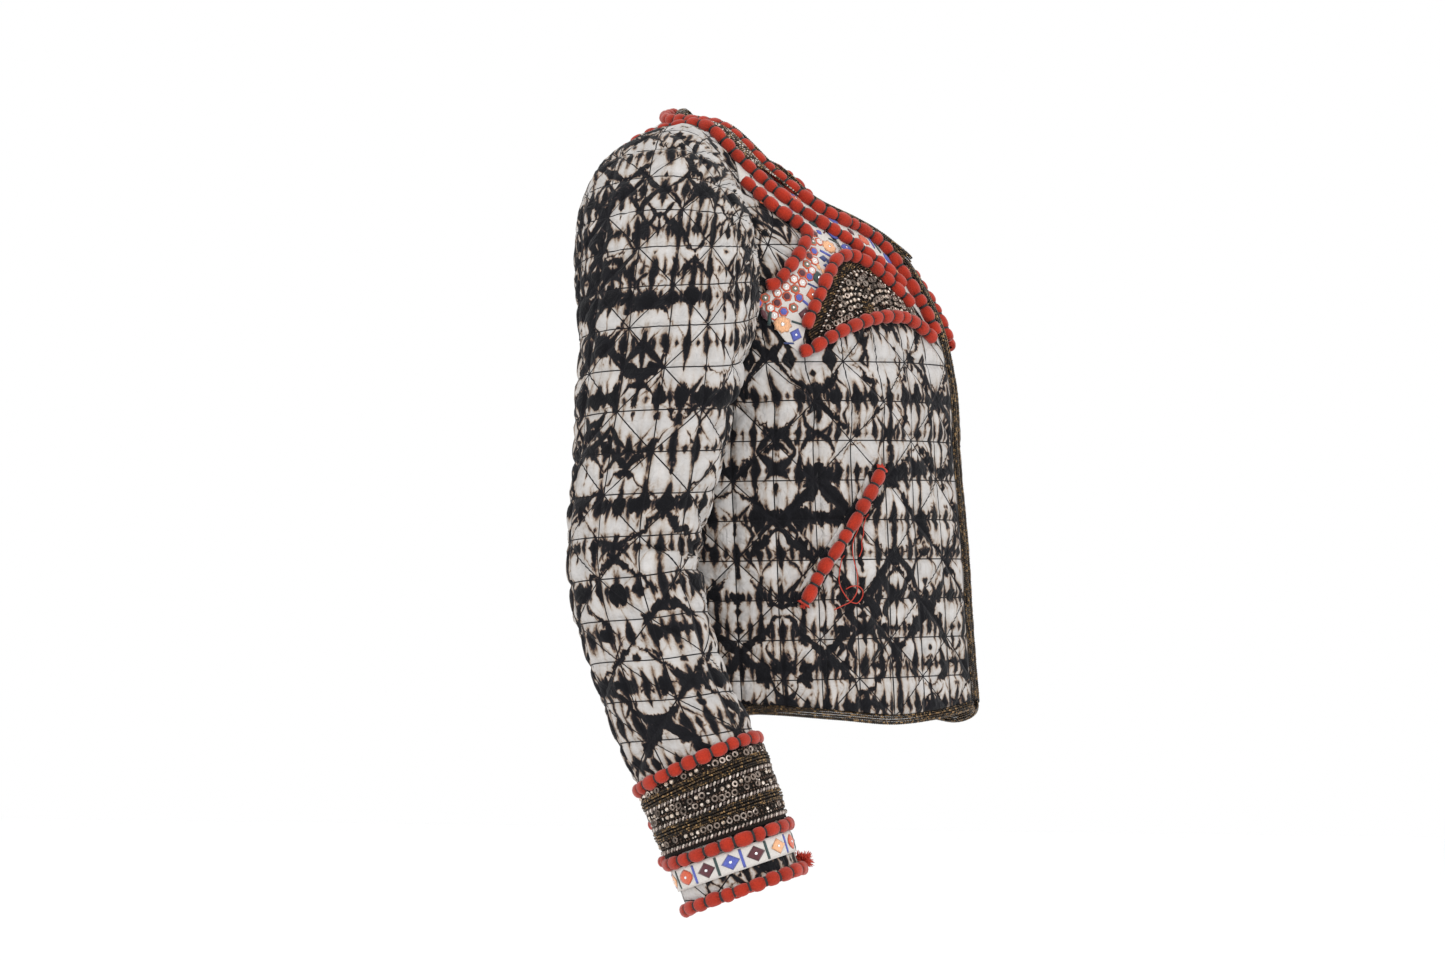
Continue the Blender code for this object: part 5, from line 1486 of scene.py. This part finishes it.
def motif_shape(corners, square=False, pointed=False, petals=0):
    """A stitched shape, one wide, with sloping sides."""
    def build(mesh):
        bmesh.ops.create_cone(mesh, segments=corners, radius1=0.5, radius2=0.34, depth=1.0, cap_ends=True)
        bmesh.ops.translate(mesh, verts=mesh.verts, vec=(0, 0, 0.5))
        for vertex in mesh.verts:
            x, y, z = vertex.co
            reach = math.hypot(x, y)
            turn = math.atan2(y, x)
            if square:
                turn += math.pi / 4
                x, y = reach * math.cos(turn) * math.sqrt(2), reach * math.sin(turn) * math.sqrt(2)
            if petals:
                reach *= 0.9 + 0.1 * math.cos(turn * petals)
                x, y = reach * math.cos(turn), reach * math.sin(turn)
            if pointed:
                y *= math.sqrt(max(0.04, 1 - (2 * x) ** 2))
            vertex.co = (x, y, z)
    return build


def on_body(across, over, lift, side, turn=0.0):
    """A point on the body with its way out and a way along it, turned from straight down."""
    centre, above, lower, upper = (
        at_places(np.array([across, over + by]), lift + up, side)
        for by, up in ((0, 0), (0, 1), (2, 0), (-2, 0)))
    out = unit(above - centre)
    forward = unit(lower - upper)
    forward = unit(forward - out * (forward @ out))
    return centre, out, turned(out, forward, turn * side)


def between(first, second, share, aside):
    """A place at a share of two lines' lengths, so many millimetres from the first to the second."""
    a, b = line(first, [share])[0], line(second, [share])[0]
    gap = np.linalg.norm((b - a) * YOKE_MM)
    return a + (b - a) * aside / max(gap, 1.0), gap


def make_motifs(looks):
    """Stitched shapes and small mirrors on both yokes and cuffs."""
    shapes = looks["shapes"]
    found = {}
    for side, _ in SIDES:
        for row in CHEST_MOTIFS + NECK_FRONT_MOTIFS:
            motif = dict(zip(MOTIF_COLUMNS, row))
            place = on_body(motif["across"], motif["over"], YOKE_PATCH, side, motif["turn"])
            size = (motif["length"], motif["width"], STITCH_HIGH)
            put(found, motif["thread"], shapes[motif["shape"]], place, size)
        for across, over, wide in CHEST_MIRRORS:
            place = on_body(across, over, YOKE_PATCH + STITCH_HIGH, side)
            put(found, "mirror", shapes["disc"], place, (wide, wide, 0.5))
        make_mosaic(side, shapes, found)
        make_neck_motifs(side, shapes, found)
        make_cuff_motifs(side, shapes, found)
    for thread, items in found.items():
        dress(strew("stitches_" + thread, items), looks["threads"][thread], "embroidered_cotton")


def make_mosaic(side, shapes, found):
    """Small six-sided patches in orange outlines, some with a mirror."""
    for across, over, thread in MOSAIC:
        place = on_body(across, over, YOKE_PATCH, side, across * MOSAIC_TURN)
        put(found, "orange", shapes["hexagon"], place, MOSAIC_OUTLINE)
        put(found, thread, shapes["hexagon"], place, MOSAIC_PATCH)
        if thread in ("white", "olive"):
            put(found, "mirror", shapes["disc"], raised(place, 0.75), MOSAIC_MIRROR)


def make_neck_motifs(side, shapes, found):
    """The same row of stitched shapes again and again along the strip over the shoulder."""
    total = yoke_length(CORD_MIDDLE)
    for start in np.arange(NECK_START, total - NECK_END, NECK_REPEAT):
        for shape, on, aside, length, width, turn, thread in NECK_MOTIFS:
            share = (start + on) / total
            if share > NECK_LAST_SHARE:
                continue
            a, b = line(CORD_NECK, [share])[0], line(CORD_MIDDLE, [share])[0]
            gap = np.linalg.norm((b - a) * YOKE_MM)
            if b[1] > NECK_FRONT_LEVEL or gap < NARROWEST_STRIP:
                continue
            place = a + (b - a) * aside
            ahead, behind = (line(CORD_MIDDLE, [min(max(share + by, 0.0), 1.0)])[0] for by in (0.01, -0.01))
            heading = (ahead - behind) * YOKE_MM
            down = math.degrees(math.atan2(heading[0], heading[1]))
            place = on_body(place[0], place[1], YOKE_PATCH, side, down + turn)
            fit = min(1.0, (gap - STRIP_EDGES) / FULL_SIZE_STRIP)
            put(found, thread, shapes[shape], place, (length * fit, width * fit, STITCH_HIGH))
            if shape == "flower":
                size = (NECK_MIRROR * fit, NECK_MIRROR * fit, MIRROR_HIGH)
                put(found, "mirror", shapes["disc"], raised(place, STITCH_HIGH), size)


def cuff_ring(up, side, lift):
    """A closed path round the sleeve, with its way out and its way down."""
    points, ways = cuff_path(up, side, lift)
    down = unit(cuff_path(up - 2, side, lift)[0] - points)
    return [np.concatenate([rows, rows[:1]]) for rows in (points, ways, down)]


def ring_spots(ring, where, on=0.0):
    """Points with their way out, way round and way down at shares of the way round a sleeve, and so
    many millimetres on."""
    points, ways, down = ring
    where = where * lengths(points)[-1] + on * MM
    return list(zip(*along_path(points, ways, where), along_path(points, down, where)[1]))


def ring_count(ring, step):
    """How many times a step goes round a ring."""
    return round(lengths(ring[0])[-1] / (step * MM))


def make_cuff_motifs(side, shapes, found):
    """Diamonds with mirrors between upright bars on the lowest band of the sleeve."""
    ring = cuff_ring(sum(MIRROR_BAND) / 2, side, CUFF_PATCH)
    count = ring_count(ring, CUFF_REPEAT)
    for k, (centre, out, forward, down) in enumerate(ring_spots(ring, (np.arange(count) + 0.5) / count)):
        thread = CUFF_MOTIFS[(k * side - 2) % len(CUFF_MOTIFS)]
        shape = shapes["petal" if thread == "orange" else "diamond"]
        put(found, thread, shape, (centre, out, unit(down)), CUFF_DIAMOND)
        put(found, "mirror", shapes["disc"], raised((centre, out, forward), STITCH_HIGH), CUFF_MIRROR)
    for k, (centre, out, _, down) in enumerate(ring_spots(ring, np.arange(count) / count, 1.0)):
        put(found, "pine" if k % 2 else "blue", shapes["bar"], (centre, out, unit(down)), CUFF_BAR)


def strewn_item(looks, place, chance, found):
    """One sequin, stone, bugle or seed bead at a spot."""
    spot, out, forward = place
    kind = chance.random()
    way = turned(out, forward, chance.uniform(0, 360))
    out = unit(out + STREWN_LEAN * way * chance.uniform(-1, 1))
    place = spot, out, unit(way - out * (way @ out))
    if kind < SEQUINS_TO:
        size = chance.uniform(*SEQUIN_SIZES)
        put(found, "sequins", looks["ring_shape"], place, (size, size, size * SEQUIN_HIGH))
    elif kind < STONES_TO:
        size = chance.uniform(*STONE_SIZES)
        put(found, "stones", looks["stone_shape"], place, (size, size, size))
    elif kind < BUGLES_TO:
        put(found, "silver", looks["bead_shape"], place, STREWN_BUGLE)
    else:
        put(found, "dark", looks["bead_shape"], place, STREWN_SEED)


def bead_kinds():
    """An empty list for each kind of bead, in the order of the pieces."""
    return {kind: [] for kind in ("sequins", "stones", "silver", "dark", "bronze")}


def make_cuff_beads(side, word, looks, chance):
    """Braids, twisted rows and strewn rows of beads round one cuff."""
    found = bead_kinds()
    bead = looks["bead_shape"]
    for up in CUFF_BRAIDS:
        found["bronze"] += braid_beads(cuff_ring(up, side, CUFF_PATCH), bead, *CUFF_BRAID, chance)
    for up in CUFF_TWISTS:
        ring = cuff_ring(up, side, CUFF_PATCH + TWIST_LIFT)
        count = ring_count(ring, TWIST_STEP)
        for k, (centre, out, forward, _) in enumerate(ring_spots(ring, (np.arange(count) + 0.5) / count)):
            place = centre, out, turned(out, forward, TWIST_TURN)
            put(found, "silver" if k % 2 else "twist", bead, place, CUFF_TWIST)
    for row, up in enumerate(CUFF_STREWN):
        ring = cuff_ring(up, side, CUFF_PATCH + STREWN_LIFT)
        count = ring_count(ring, STREWN_STEP)
        shift = 0.5 * (row % 2)
        for centre, out, forward, low in ring_spots(ring, (np.arange(count) + shift + 0.1) / (count + 0.7)):
            down_by, on_by = (chance.uniform(-stray, stray) for stray in STREWN_STRAY)
            spot = centre + (low * down_by + forward * on_by) * MM
            strewn_item(looks, (spot, out, forward), chance, found)
            for down_by, on_by in SEEDS_BESIDE:
                on_by += chance.uniform(-STREWN_STRAY[1], STREWN_STRAY[1])
                small = centre + (low * down_by + forward * on_by) * MM
                kind = "dark" if chance.random() < DARK_SEEDS else "silver"
                put(found, kind, bead, (small, out, forward), CUFF_SEED)
    finish_beads("cuff_" + word, found, looks)


def finish_beads(word, found, looks):
    """Makes one piece of each kind of bead."""
    for name, items in found.items():
        if items:
            slot = "bronze_beads" if name == "bronze" else "crystal_beads"
            dress(strew("beads_%s_%s" % (name, word), items), looks["beads"][name], slot)


def make_yoke_beads(side, word, looks, chance):
    """Beads on the triangle of one side, and between the two upper cords over the shoulder."""
    found = bead_kinds()
    fill_triangle(side, looks, chance, found)
    line_triangle(side, looks, found)
    heap_nape(side, looks, chance, found)
    finish_beads("yoke_" + word, found, looks)


def fill_triangle(side, looks, chance, found):
    """Seed beads round the triangle's edge, sequins, stones and bugles inside."""
    bead = looks["bead_shape"]
    length = yoke_length(CORD_POINT)
    for step, small in ((SEED_STEP, True), (STONE_STEP, False)):
        count = int(length / step)
        for i in range(count):
            share = (i + 0.5) / count
            gap = between(CORD_POINT, TRIANGLE_BASE, share, 0.0)[1]
            for j in range(int((gap - FIRST_BEAD) / step)):
                aside = FIRST_BEAD + (j + 0.5 * (i % 2)) * step
                across, over = between(CORD_POINT, TRIANGLE_BASE, share, aside)[0]
                border = np.interp(share, BORDER_SHARES, BORDER_WIDTHS)
                middle = math.hypot((across - PATCH_PLACE[0]) * YOKE_MM[0], over - PATCH_PLACE[1])
                beaded = aside < border or middle < PATCH_REACH
                if beaded and small:
                    place = on_body(across, over, BEADS_LIFT + 0.4, side, chance.uniform(0, 180))
                    put(found, "bronze", bead, place, BORDER_BEAD)
                elif not beaded and small and chance.random() < SEEDS_INSIDE:
                    place = on_body(across, over, BEADS_LIFT, side, chance.uniform(0, 90))
                    kind = "silver" if chance.random() < SILVER_SEEDS else "dark"
                    put(found, kind, bead, place, FILL_BEAD)
                elif not beaded and not small and aside > border + CLEAR_OF_LINE:
                    strewn_item(looks, on_body(across, over, BEADS_LIFT + 0.7, side), chance, found)


def line_triangle(side, looks, found):
    """Twisted bugles in a line inside the triangle's bronze border."""
    count = int(yoke_length(CORD_POINT) / LINE_STEP)
    for i in range(count):
        share = (i + 0.5) / count
        aside = np.interp(share, BORDER_SHARES, TWIST_LINE)
        place, gap = between(CORD_POINT, TRIANGLE_BASE, share, aside)
        if gap < aside + CLEAR_OF_LINE:
            continue
        ahead = (between(CORD_POINT, TRIANGLE_BASE, share + 0.01, aside)[0] - place) * YOKE_MM
        heading = math.degrees(math.atan2(ahead[0], ahead[1]))
        place = on_body(place[0], place[1], BEADS_LIFT + 0.8, side, heading + TWIST_TURN)
        put(found, "silver" if i % 2 else "dark", looks["bead_shape"], place, TRIANGLE_TWIST)


def heap_nape(side, looks, chance, found):
    """Beads heaped between the two upper cords over the shoulder."""
    total = yoke_length(CORD_MIDDLE)
    for i in range(int(total / NAPE_STEP)):
        share = (i + 0.5) * NAPE_STEP / total
        gap = between(CORD_NECK, CORD_MIDDLE, share, 0.0)[1]
        if not NAPE_FROM < line(CORD_MIDDLE, [share])[0][1] < NAPE_TO:
            continue
        for j in range(int((gap - NAPE_EDGES) / NAPE_STEP)):
            aside = (j + 0.5 * (i % 2)) * NAPE_STEP
            across, over = between(CORD_NECK, CORD_MIDDLE, share, NAPE_FIRST + aside)[0]
            heaped = BEAD_HEAP * math.sin(math.pi * min(1.0, (aside + NAPE_STEP / 2) / (gap - NAPE_EDGES)))
            place = on_body(across, over, BEADS_LIFT + 0.3 + heaped, side, chance.uniform(0, 180))
            kind = "bronze" if chance.random() < MOST else "silver" if chance.random() < MOST else "dark"
            put(found, kind, looks["bead_shape"], place, NAPE_BEAD)


def tuft(shape, spot, out, chance, count, length):
    """Cut ends of cloth fibres standing out of one spot."""
    items = []
    for _ in range(count):
        way = unit(out * chance.uniform(0.2, 1.2) + np.array([chance.uniform(-1, 1) for _ in range(3)]))
        aside = unit(np.cross(way, (0.3, 0.5, 0.8)))
        reach = length * chance.uniform(0.5, 1.0)
        items.append((shape, placed(spot + way * reach * 0.45 * MM, aside, way, (reach, 0.9, 0.9))))
    return items


def make_loose_threads(looks, chance):
    """Loose sewing threads at the right pocket, cut ends of the cords and stray ends at the ties."""
    for name, places in LOOSE_THREADS.items():
        shares = np.linspace(0, 1, 12 * len(places))
        lift = CLOTH / 2 + QUILT_RISE + 1.2 + 0.8 * np.sin(shares * 17)
        lift[:6] += np.linspace(4.5, 0, 6)
        points = at_places(line(places, shares), lift, -1)
        dress(tube("loose_thread_" + name, points, LOOSE_WIDTH), looks["loose"], "puff_cotton")
    items = []
    for side, _ in SIDES:
        places = resample(POCKET, side, 2.0)
        points = at_places(places, POCKET_LIFT, side)
        outs = unit(at_places(places, POCKET_LIFT + 1, side) - points)
        for end, inner in ((0, 1), (-1, -2)):
            forward = unit(points[end] - points[inner])
            spot = points[end]
            middle, tip = (spot + forward * by * MM for by in FLARE_PLACES)
            items.append((looks["flare"], placed(middle, forward, outs[end], FLARE)))
            items += tuft(looks["bead_shape"], tip, forward, chance, *POCKET_TUFT)
        points, ways = cuff_path(TUFT_UP, side, CUFF_CORD_LIFT)
        k = round(TUFT_ROUND * len(points))
        for spot, out in zip(points[k - 3:k + 4], ways[k - 3:k + 4]):
            spot = spot + out * chance.uniform(-1, 3) * MM
            items += tuft(looks["bead_shape"], spot, out, chance, *CUFF_TUFT)
    dress(strew("cut_cord_ends", items), looks["loose"], "puff_cotton")


def speckled(name, colours, scale, roughness, metallic):
    """Beads whose colour changes from one to the next."""
    made = plain(name, colours[0], roughness, metallic)
    tree = made.node_tree
    spots = add(tree, "TexWhiteNoise", add(tree, "VectorMath SNAP", add(
        tree, "TexCoord", take="Object"), (scale * MM,) * 3), noise_dimensions="3D")
    stops = [(k / (len(colours) - 1), colour) for k, colour in enumerate(colours)]
    return coat(made, {"Base Color": add_ramp(tree, spots, stops)})


def stitched(name, colour):
    """Satin stitches of floss: fine ridges that catch the light and give it a silky shine."""
    made = plain(name, colour, 0.55)
    tree = made.node_tree
    place = add(tree, "TexCoord", take="Object")
    place = add(tree, "VectorMath MULTIPLY", place, (1.0, 1.0, 0.35))
    thread = add(tree, "TexNoise", {"Vector": place, "Scale": 1500.0, "Detail": 1.0})
    shade = add(tree, "MapRange", thread, 0.3, 0.7, 0.72, 1.18)
    return coat(made, {
        "Base Color": add(tree, "VectorMath SCALE", srgb(colour)[:3], {"Scale": shade}),
        "Normal": add(tree, "Bump", {"Strength": 0.6, "Distance": 0.0004, "Height": thread}),
        "Sheen Weight": 0.3,
    })


def puff_cotton():
    """Red cotton, plainly woven, stuffed and gathered at each tie, faded a little here and there: matt,
    with small folds that run into the ties, where its colour is darkened as painted shade."""
    made = plain("puff red cotton", "#982418", 0.92)
    tree = made.node_tree
    where = add(tree, "UVMap", uv_map="puff")
    turn = add(tree, "SeparateXYZ", where, take="X")
    down = add(tree, "SeparateXYZ", where, take="Y")
    tied = add(tree, "Math SUBTRACT", add(tree, "Math FRACT", down), 0.5)
    tied = add(tree, "Math MULTIPLY", add(tree, "Math ABSOLUTE", tied), 2.0)
    tied = add(tree, "Math POWER", tied, 2.2)
    around = add(tree, "Math MULTIPLY", turn, 16.0)
    gather = add(tree, "TexNoise", {
        "Vector": add(tree, "CombineXYZ", around, add(tree, "Math MULTIPLY", down, 1.3), 0.0),
        "Scale": 1.0, "Detail": 2.0})
    place = add(tree, "TexCoord", take="Object")
    weave = add(tree, "TexNoise", {"Vector": place, "Scale": 1100.0, "Detail": 2.0})
    faded = add(tree, "TexNoise", {"Vector": place, "Scale": 60.0, "Detail": 2.0})
    shade = add(tree, "MapRange", weave, 0.25, 0.75, 0.72, 1.22)
    shade = add(tree, "Math MULTIPLY", shade, add(tree, "MapRange", faded, 0.3, 0.7, 0.86, 1.14))
    # Painted shade: the colour is darkened in the small folds next to each tie
    folds = add(tree, "Math MULTIPLY", add(tree, "MapRange", gather, 0.35, 0.65, 0.0, 0.5), tied)
    shade = add(tree, "Math MULTIPLY", shade, add(tree, "Math SUBTRACT", 1.0, folds))
    height = add(tree, "Math MULTIPLY", weave, 0.00025)
    height = add(tree, "Math MULTIPLY_ADD", add(tree, "Math MULTIPLY", gather, tied), 0.0016, height)
    return coat(made, {
        "Base Color": add(tree, "VectorMath SCALE", srgb("#A02A16")[:3], {"Scale": shade}),
        "Normal": add(tree, "Bump", {"Strength": 0.8, "Distance": 1.0, "Height": height}),
        "Sheen Weight": 0.25,
        "Specular IOR Level": 0.2,
    })


def plain_cotton(name, colour):
    """Plain woven cotton with a slight slub: matt, its threads just seen."""
    made = plain(name, colour, 0.92)
    tree = made.node_tree
    place = add(tree, "UVMap", uv_map="dye")
    warp, weft = (
        add(tree, "TexNoise", {
            "Vector": add(tree, "VectorMath MULTIPLY", place, stretch), "Scale": 1.0, "Detail": 2.0})
        for stretch in ((2.4, 0.5, 1.0), (0.5, 2.4, 1.0)))
    weave = add(tree, "Math ADD", warp, weft)
    shade = add(tree, "MapRange", weave, 0.7, 1.3, 0.86, 1.06)
    return coat(made, {
        "Base Color": add(tree, "VectorMath SCALE", srgb(colour)[:3], {"Scale": shade}),
        "Normal": add(tree, "Bump", {"Strength": 0.5, "Distance": 0.0006, "Height": weave}),
        "Specular IOR Level": 0.2,
    })


def make_yoke(side, word, looks, chance):
    """Cords, strips and cuff bands on one side, with the cords' ties."""
    for name, first, second, look, slot in (
        ("neck_strip_", CORD_NECK, CORD_MIDDLE, "embroidered", "embroidered_cotton"),
        ("chest_band_", CHEST_OUTER, CHEST_INNER, "embroidered", "embroidered_cotton"),
        ("point_band_", POINT_BAND, POINT_SIDE, "embroidered", "embroidered_cotton"),
        ("bead_triangle_", CORD_POINT, TRIANGLE_BASE, "bead_ground", "crystal_beads"),
    ):
        dress(strip("cloth_" + name + word, first, second, side), looks[look], slot, name + word)
    cords = [
        (name, name, yoke_path(rows, side, CORD_LIFT), {}) for name, rows in (
            ("neck_cord_", CORD_NECK),
            ("middle_cord_", CORD_MIDDLE),
            ("outer_cord_", CORD_OUTER),
            ("point_cord_", CORD_POINT),
            ("base_cord_", CORD_BASE),
        )]
    cords += [
        ("cuff_%d_" % k, "cuff_cord_%d_" % k, cuff_path(up, side, CUFF_CORD_LIFT), {
            "ring": True, "flat": CUFF_FLAT})
        for k, up in enumerate(CUFF_CORDS, 1)]
    cords.append(("pocket_", "pocket_cord_", yoke_path(POCKET, side, POCKET_LIFT), {
        "tied": True, "puff": POCKET_PUFF}))
    ties = []
    for name, node, path, kind in cords:
        made, more = puff_cord("puffs_" + name + word, path, chance, **kind)
        dress(made, looks["red"], "puff_cotton", node + word)
        ties += more
    made = strew("thread_ties_" + word, [(looks["tie_shape"], tie) for tie in ties])
    dress(made, looks["thread"], "puff_cotton")
    for name, place, look, slot in (
        ("bead_band_", BEAD_BAND, "bead_ground", "crystal_beads"),
        ("mirror_band_", MIRROR_BAND, "embroidered", "embroidered_cotton"),
    ):
        dress(sleeve_band("cloth_" + name + word, *place, side), looks[look], slot, name + word)


def make_pocket(side, word, cotton):
    """The welt of one pocket, a raised lip of quilted cloth under its cord."""
    places = resample(POCKET, side, STRIP_CELL)
    width = np.linspace(-POCKET_LIP, POCKET_LIP, WELT_COLUMNS + 1)[None, :]
    across = places[:, :1] + width / YOKE_MM[0]
    places = np.stack(np.broadcast_arrays(across, places[:, 1:]), axis=-1)
    over = places[..., 1]
    out = CLOTH / 2 + QUILT_RISE + PATCH + 0.9 * (1 - (width / POCKET_LIP) ** 4) - 0.6
    points, above = (at_places(places, out + up, side) for up in (0, 1))
    u = places[..., 0] / 100 * girth_at(over)
    maps = {
        "dye": np.stack([u * -side + 11, over], axis=-1),
        "band": dye_map(over, BODY_DYE),
        "quilt": np.stack([u * 0 + 0.4, over * 0 + 0.2], axis=-1),
    }
    made = sheet_mesh("cloth_pocket_welt_" + word, points, above, maps)
    dress(thicken(made, PATCH), cotton, "quilted_cotton", "pocket_welt_" + word)


def joined_path(runs):
    """One path of several that follow on each other."""
    return [np.concatenate(rows) for rows in zip(*runs)]


def make_braids(looks, chance):
    """Beaded herringbone braids at the neck, down the fronts and round the hem."""
    fronts, sides, backs = front_places()[0], side_places()[0], back_places()[0]
    low, nape = LOWER_ROWS + EDGE_ROWS, LOWER_ROWS + BACK_EDGE_ROWS
    bead, under, bronze = looks["bead_shape"], looks["under_shape"], looks["beads"]["bronze"]
    paths = {"hem": [], "neck": []}
    for side, _ in SIDES:
        paths["hem"].append(joined_path([
            edge_path(fronts[0], side, fronts[1]),
            edge_path(sides[0], side, sides[1]),
            edge_path(backs[0][::-1], side, backs[1][::-1]),
        ]))
        paths["neck"].append(joined_path([
            edge_path(fronts[low:, 0], side, fronts[low:, 1]),
            edge_path(backs[nape:, 0][::-1], side, backs[nape:, 1][::-1]),
        ]))
    for name, (right, left) in paths.items():
        path = joined_path([right, [rows[::-1] for rows in left]])
        apart = np.linalg.norm(np.diff(path[0], axis=0), axis=1) > 0.2 * MM
        path = [rows[np.append(True, apart)] for rows in path]
        tilt, width = (NECK_TILT, NECK_BRAID) if name == "neck" else (NO_TILT, BRAID_WIDTH)
        beads = braid_beads(path, bead, width, 0.0, BRAID_RISE, chance, tilt)
        beads += braid_beads(path, under, width, UNDER_LIFT, 0.0, chance, tilt)
        dress(strew("beads_" + name, beads), bronze, "bronze_beads", name + "_braid")
    for side, word in SIDES:
        path = edge_path(fronts[:low + 1, 0], side, fronts[:low + 1, 1])
        beads = braid_beads(path, bead, BRAID_WIDTH, 0.0, FRONT_RISE, chance, FRONT_TILT)
        dress(strew("beads_front_" + word, beads), bronze, "bronze_beads", "front_braid_" + word)


def face(made, place, way):
    """Puts a lamp or the camera in the scene and turns it to look along a way."""
    made.location = place
    made.rotation_euler = Vector(way).to_track_quat("-Z", "Y").to_euler()
    bpy.context.scene.collection.objects.link(made)


def make_light_and_camera():
    """Five soft lamps, a pale room and floor, and the camera where the photo was taken."""
    camera = bpy.data.objects.new("camera", bpy.data.cameras.new("camera"))
    camera.data.lens = 85.0
    camera.data.sensor_width = 36.0
    face(camera, (-2.6865, -0.8056, -0.4548), (0.94928, 0.30844, 0.06105))
    bpy.context.scene.camera = camera
    for name, place, size, power in (
        ("key", (-2.4, -1.6, 1.6), 1.8, 32.0),
        ("fill", (-2.0, 1.8, 0.6), 2.4, 9.0),
        ("front", (0.6, -2.8, 0.6), 2.2, 9.0),
        ("far", (2.4, 0.8, 1.0), 2.4, 9.0),
        ("top", (0.0, 0.0, 2.4), 2.6, 8.0),
    ):
        lamp = bpy.data.lights.new(name, "AREA")
        lamp.size = size
        lamp.energy = power
        face(bpy.data.objects.new(name, lamp), place, Vector(JACKET_MIDDLE) - Vector(place))
    world = bpy.data.worlds.new("studio")
    world.use_nodes = True
    give(world.node_tree, world.node_tree.nodes["Background"], {"Color": srgb("#FFFFFF"), "Strength": 1.0})
    bpy.context.scene.world = world
    bpy.context.scene.view_settings.view_transform = "Standard"
    mesh = bmesh.new()
    bmesh.ops.create_grid(mesh, x_segments=1, y_segments=1, size=9)
    bmesh.ops.translate(mesh, verts=mesh.verts, vec=(0, 0, FLOOR))
    floor = shown("floor", mesh)
    floor.data.materials.append(plain("pale floor", "#FFFFFF", 0.9))


def make_looks():
    """Every material and every small shape that is repeated."""
    return {
        # Woven cotton, wadded and sewn in squares: folded, tied and dyed, so black with cream ovals
        "cotton": quilted_cotton(),
        # Woven cotton under the embroidery: a flat, pale ground
        "embroidered": plain_cotton("white cotton", "#CFCAC5"),
        # Cotton net under the beads: a flat, dark ground that they stand out from
        "bead_ground": plain_cotton("dark net", "#1C1815"),
        "red": puff_cotton(),
        # Cut cotton fibres and sewing thread: matt
        "loose": plain("loose red thread", "#B03422", 0.8),
        # Black sewing thread wound tight round the cords: nearly matt
        "thread": plain("black thread", "#17161A", 0.7),
        "beads": {
            # Glass seed beads fired with a bronze lustre: dark, with painted glints, warm pale specks of
            # colour, here and there
            "bronze": speckled("bronze beads", (
                "#17120E", "#2E241B", "#110E0C", "#AA885C", "#1B1612", "#261E17", "#130F0D", "#68543E"),
                1.5, 0.32, 0.5),
            # Cups stamped of thin metal-coated film: each a mirror of its own, with its reflection painted
            # in a colour from dark to pale
            "sequins": speckled("steel sequins", (
                "#544A44", "#8A7C72", "#3A322C", "#BEAFA4"), 6.0, 0.22, 0.9),
            # Cut and polished glass, backed with foil: sharp small lights, painted as pale and dark specks
            # of colour that stand for glints on the facets
            "stones": speckled("clear stones", (
                "#D0BFAE", "#7E6C5E", "#E8DCD0", "#9A8268"), 1.4, 0.10, 0.55),
            # Cut glass tubes and beads lined with silver: bright and smooth
            "silver": speckled("silver bugles", ("#A89A8E", "#DCD0C6", "#82756A"), 2.0, 0.18, 0.6),
            # Twisted glass tubes: smoky, so that the silver ones between them show as a cord
            "twist": speckled("dark bugles", ("#5A4C46", "#8A7C76", "#3C3430"), 2.0, 0.25, 0.5),
            # Brown glass seed beads: dark and glossy
            "dark": speckled("dark beads", ("#19120F", "#402F25", "#241A14", "#6A5242"), 1.6, 0.24, 0.5),
        },
        "threads": {
            **{name: stitched(name + " thread", colour) for name, colour in THREADS.items()},
            # Thin silvered glass: a hard, pale glint
            "mirror": plain("mirror", "#E4E6E8", 0.08, 1.0),
        },
        "tie_shape": shape_mesh("tie", tie_shape),
        "bead_shape": shape_mesh("bead", bead_shape),
        "under_shape": shape_mesh("under bead", under_shape),
        "ring_shape": shape_mesh("sequin", ring_shape),
        "stone_shape": shape_mesh("stone", stone_shape),
        "flare": shape_mesh("flare", flare_shape),
        "shapes": {
            "diamond": shape_mesh("diamond", motif_shape(4)),
            "bar": shape_mesh("bar", motif_shape(4, square=True)),
            "hexagon": shape_mesh("hexagon", motif_shape(6)),
            "petal": shape_mesh("petal", motif_shape(14, pointed=True)),
            "flower": shape_mesh("flower", motif_shape(32, petals=8)),
            "disc": shape_mesh("disc", motif_shape(12)),
        },
    }


def main():
    """Makes the jacket over the part, its light and its camera."""
    looks = make_looks()
    chance = random.Random(7)
    make_light_and_camera()
    make_body(looks["cotton"])
    make_sleeves(looks["cotton"])
    for side, word in SIDES:
        make_yoke(side, word, looks, chance)
        make_pocket(side, word, looks["cotton"])
        make_yoke_beads(side, word, looks, chance)
        make_cuff_beads(side, word, looks, chance)
    make_motifs(looks)
    make_loose_threads(looks, chance)
    make_braids(looks, chance)


main()
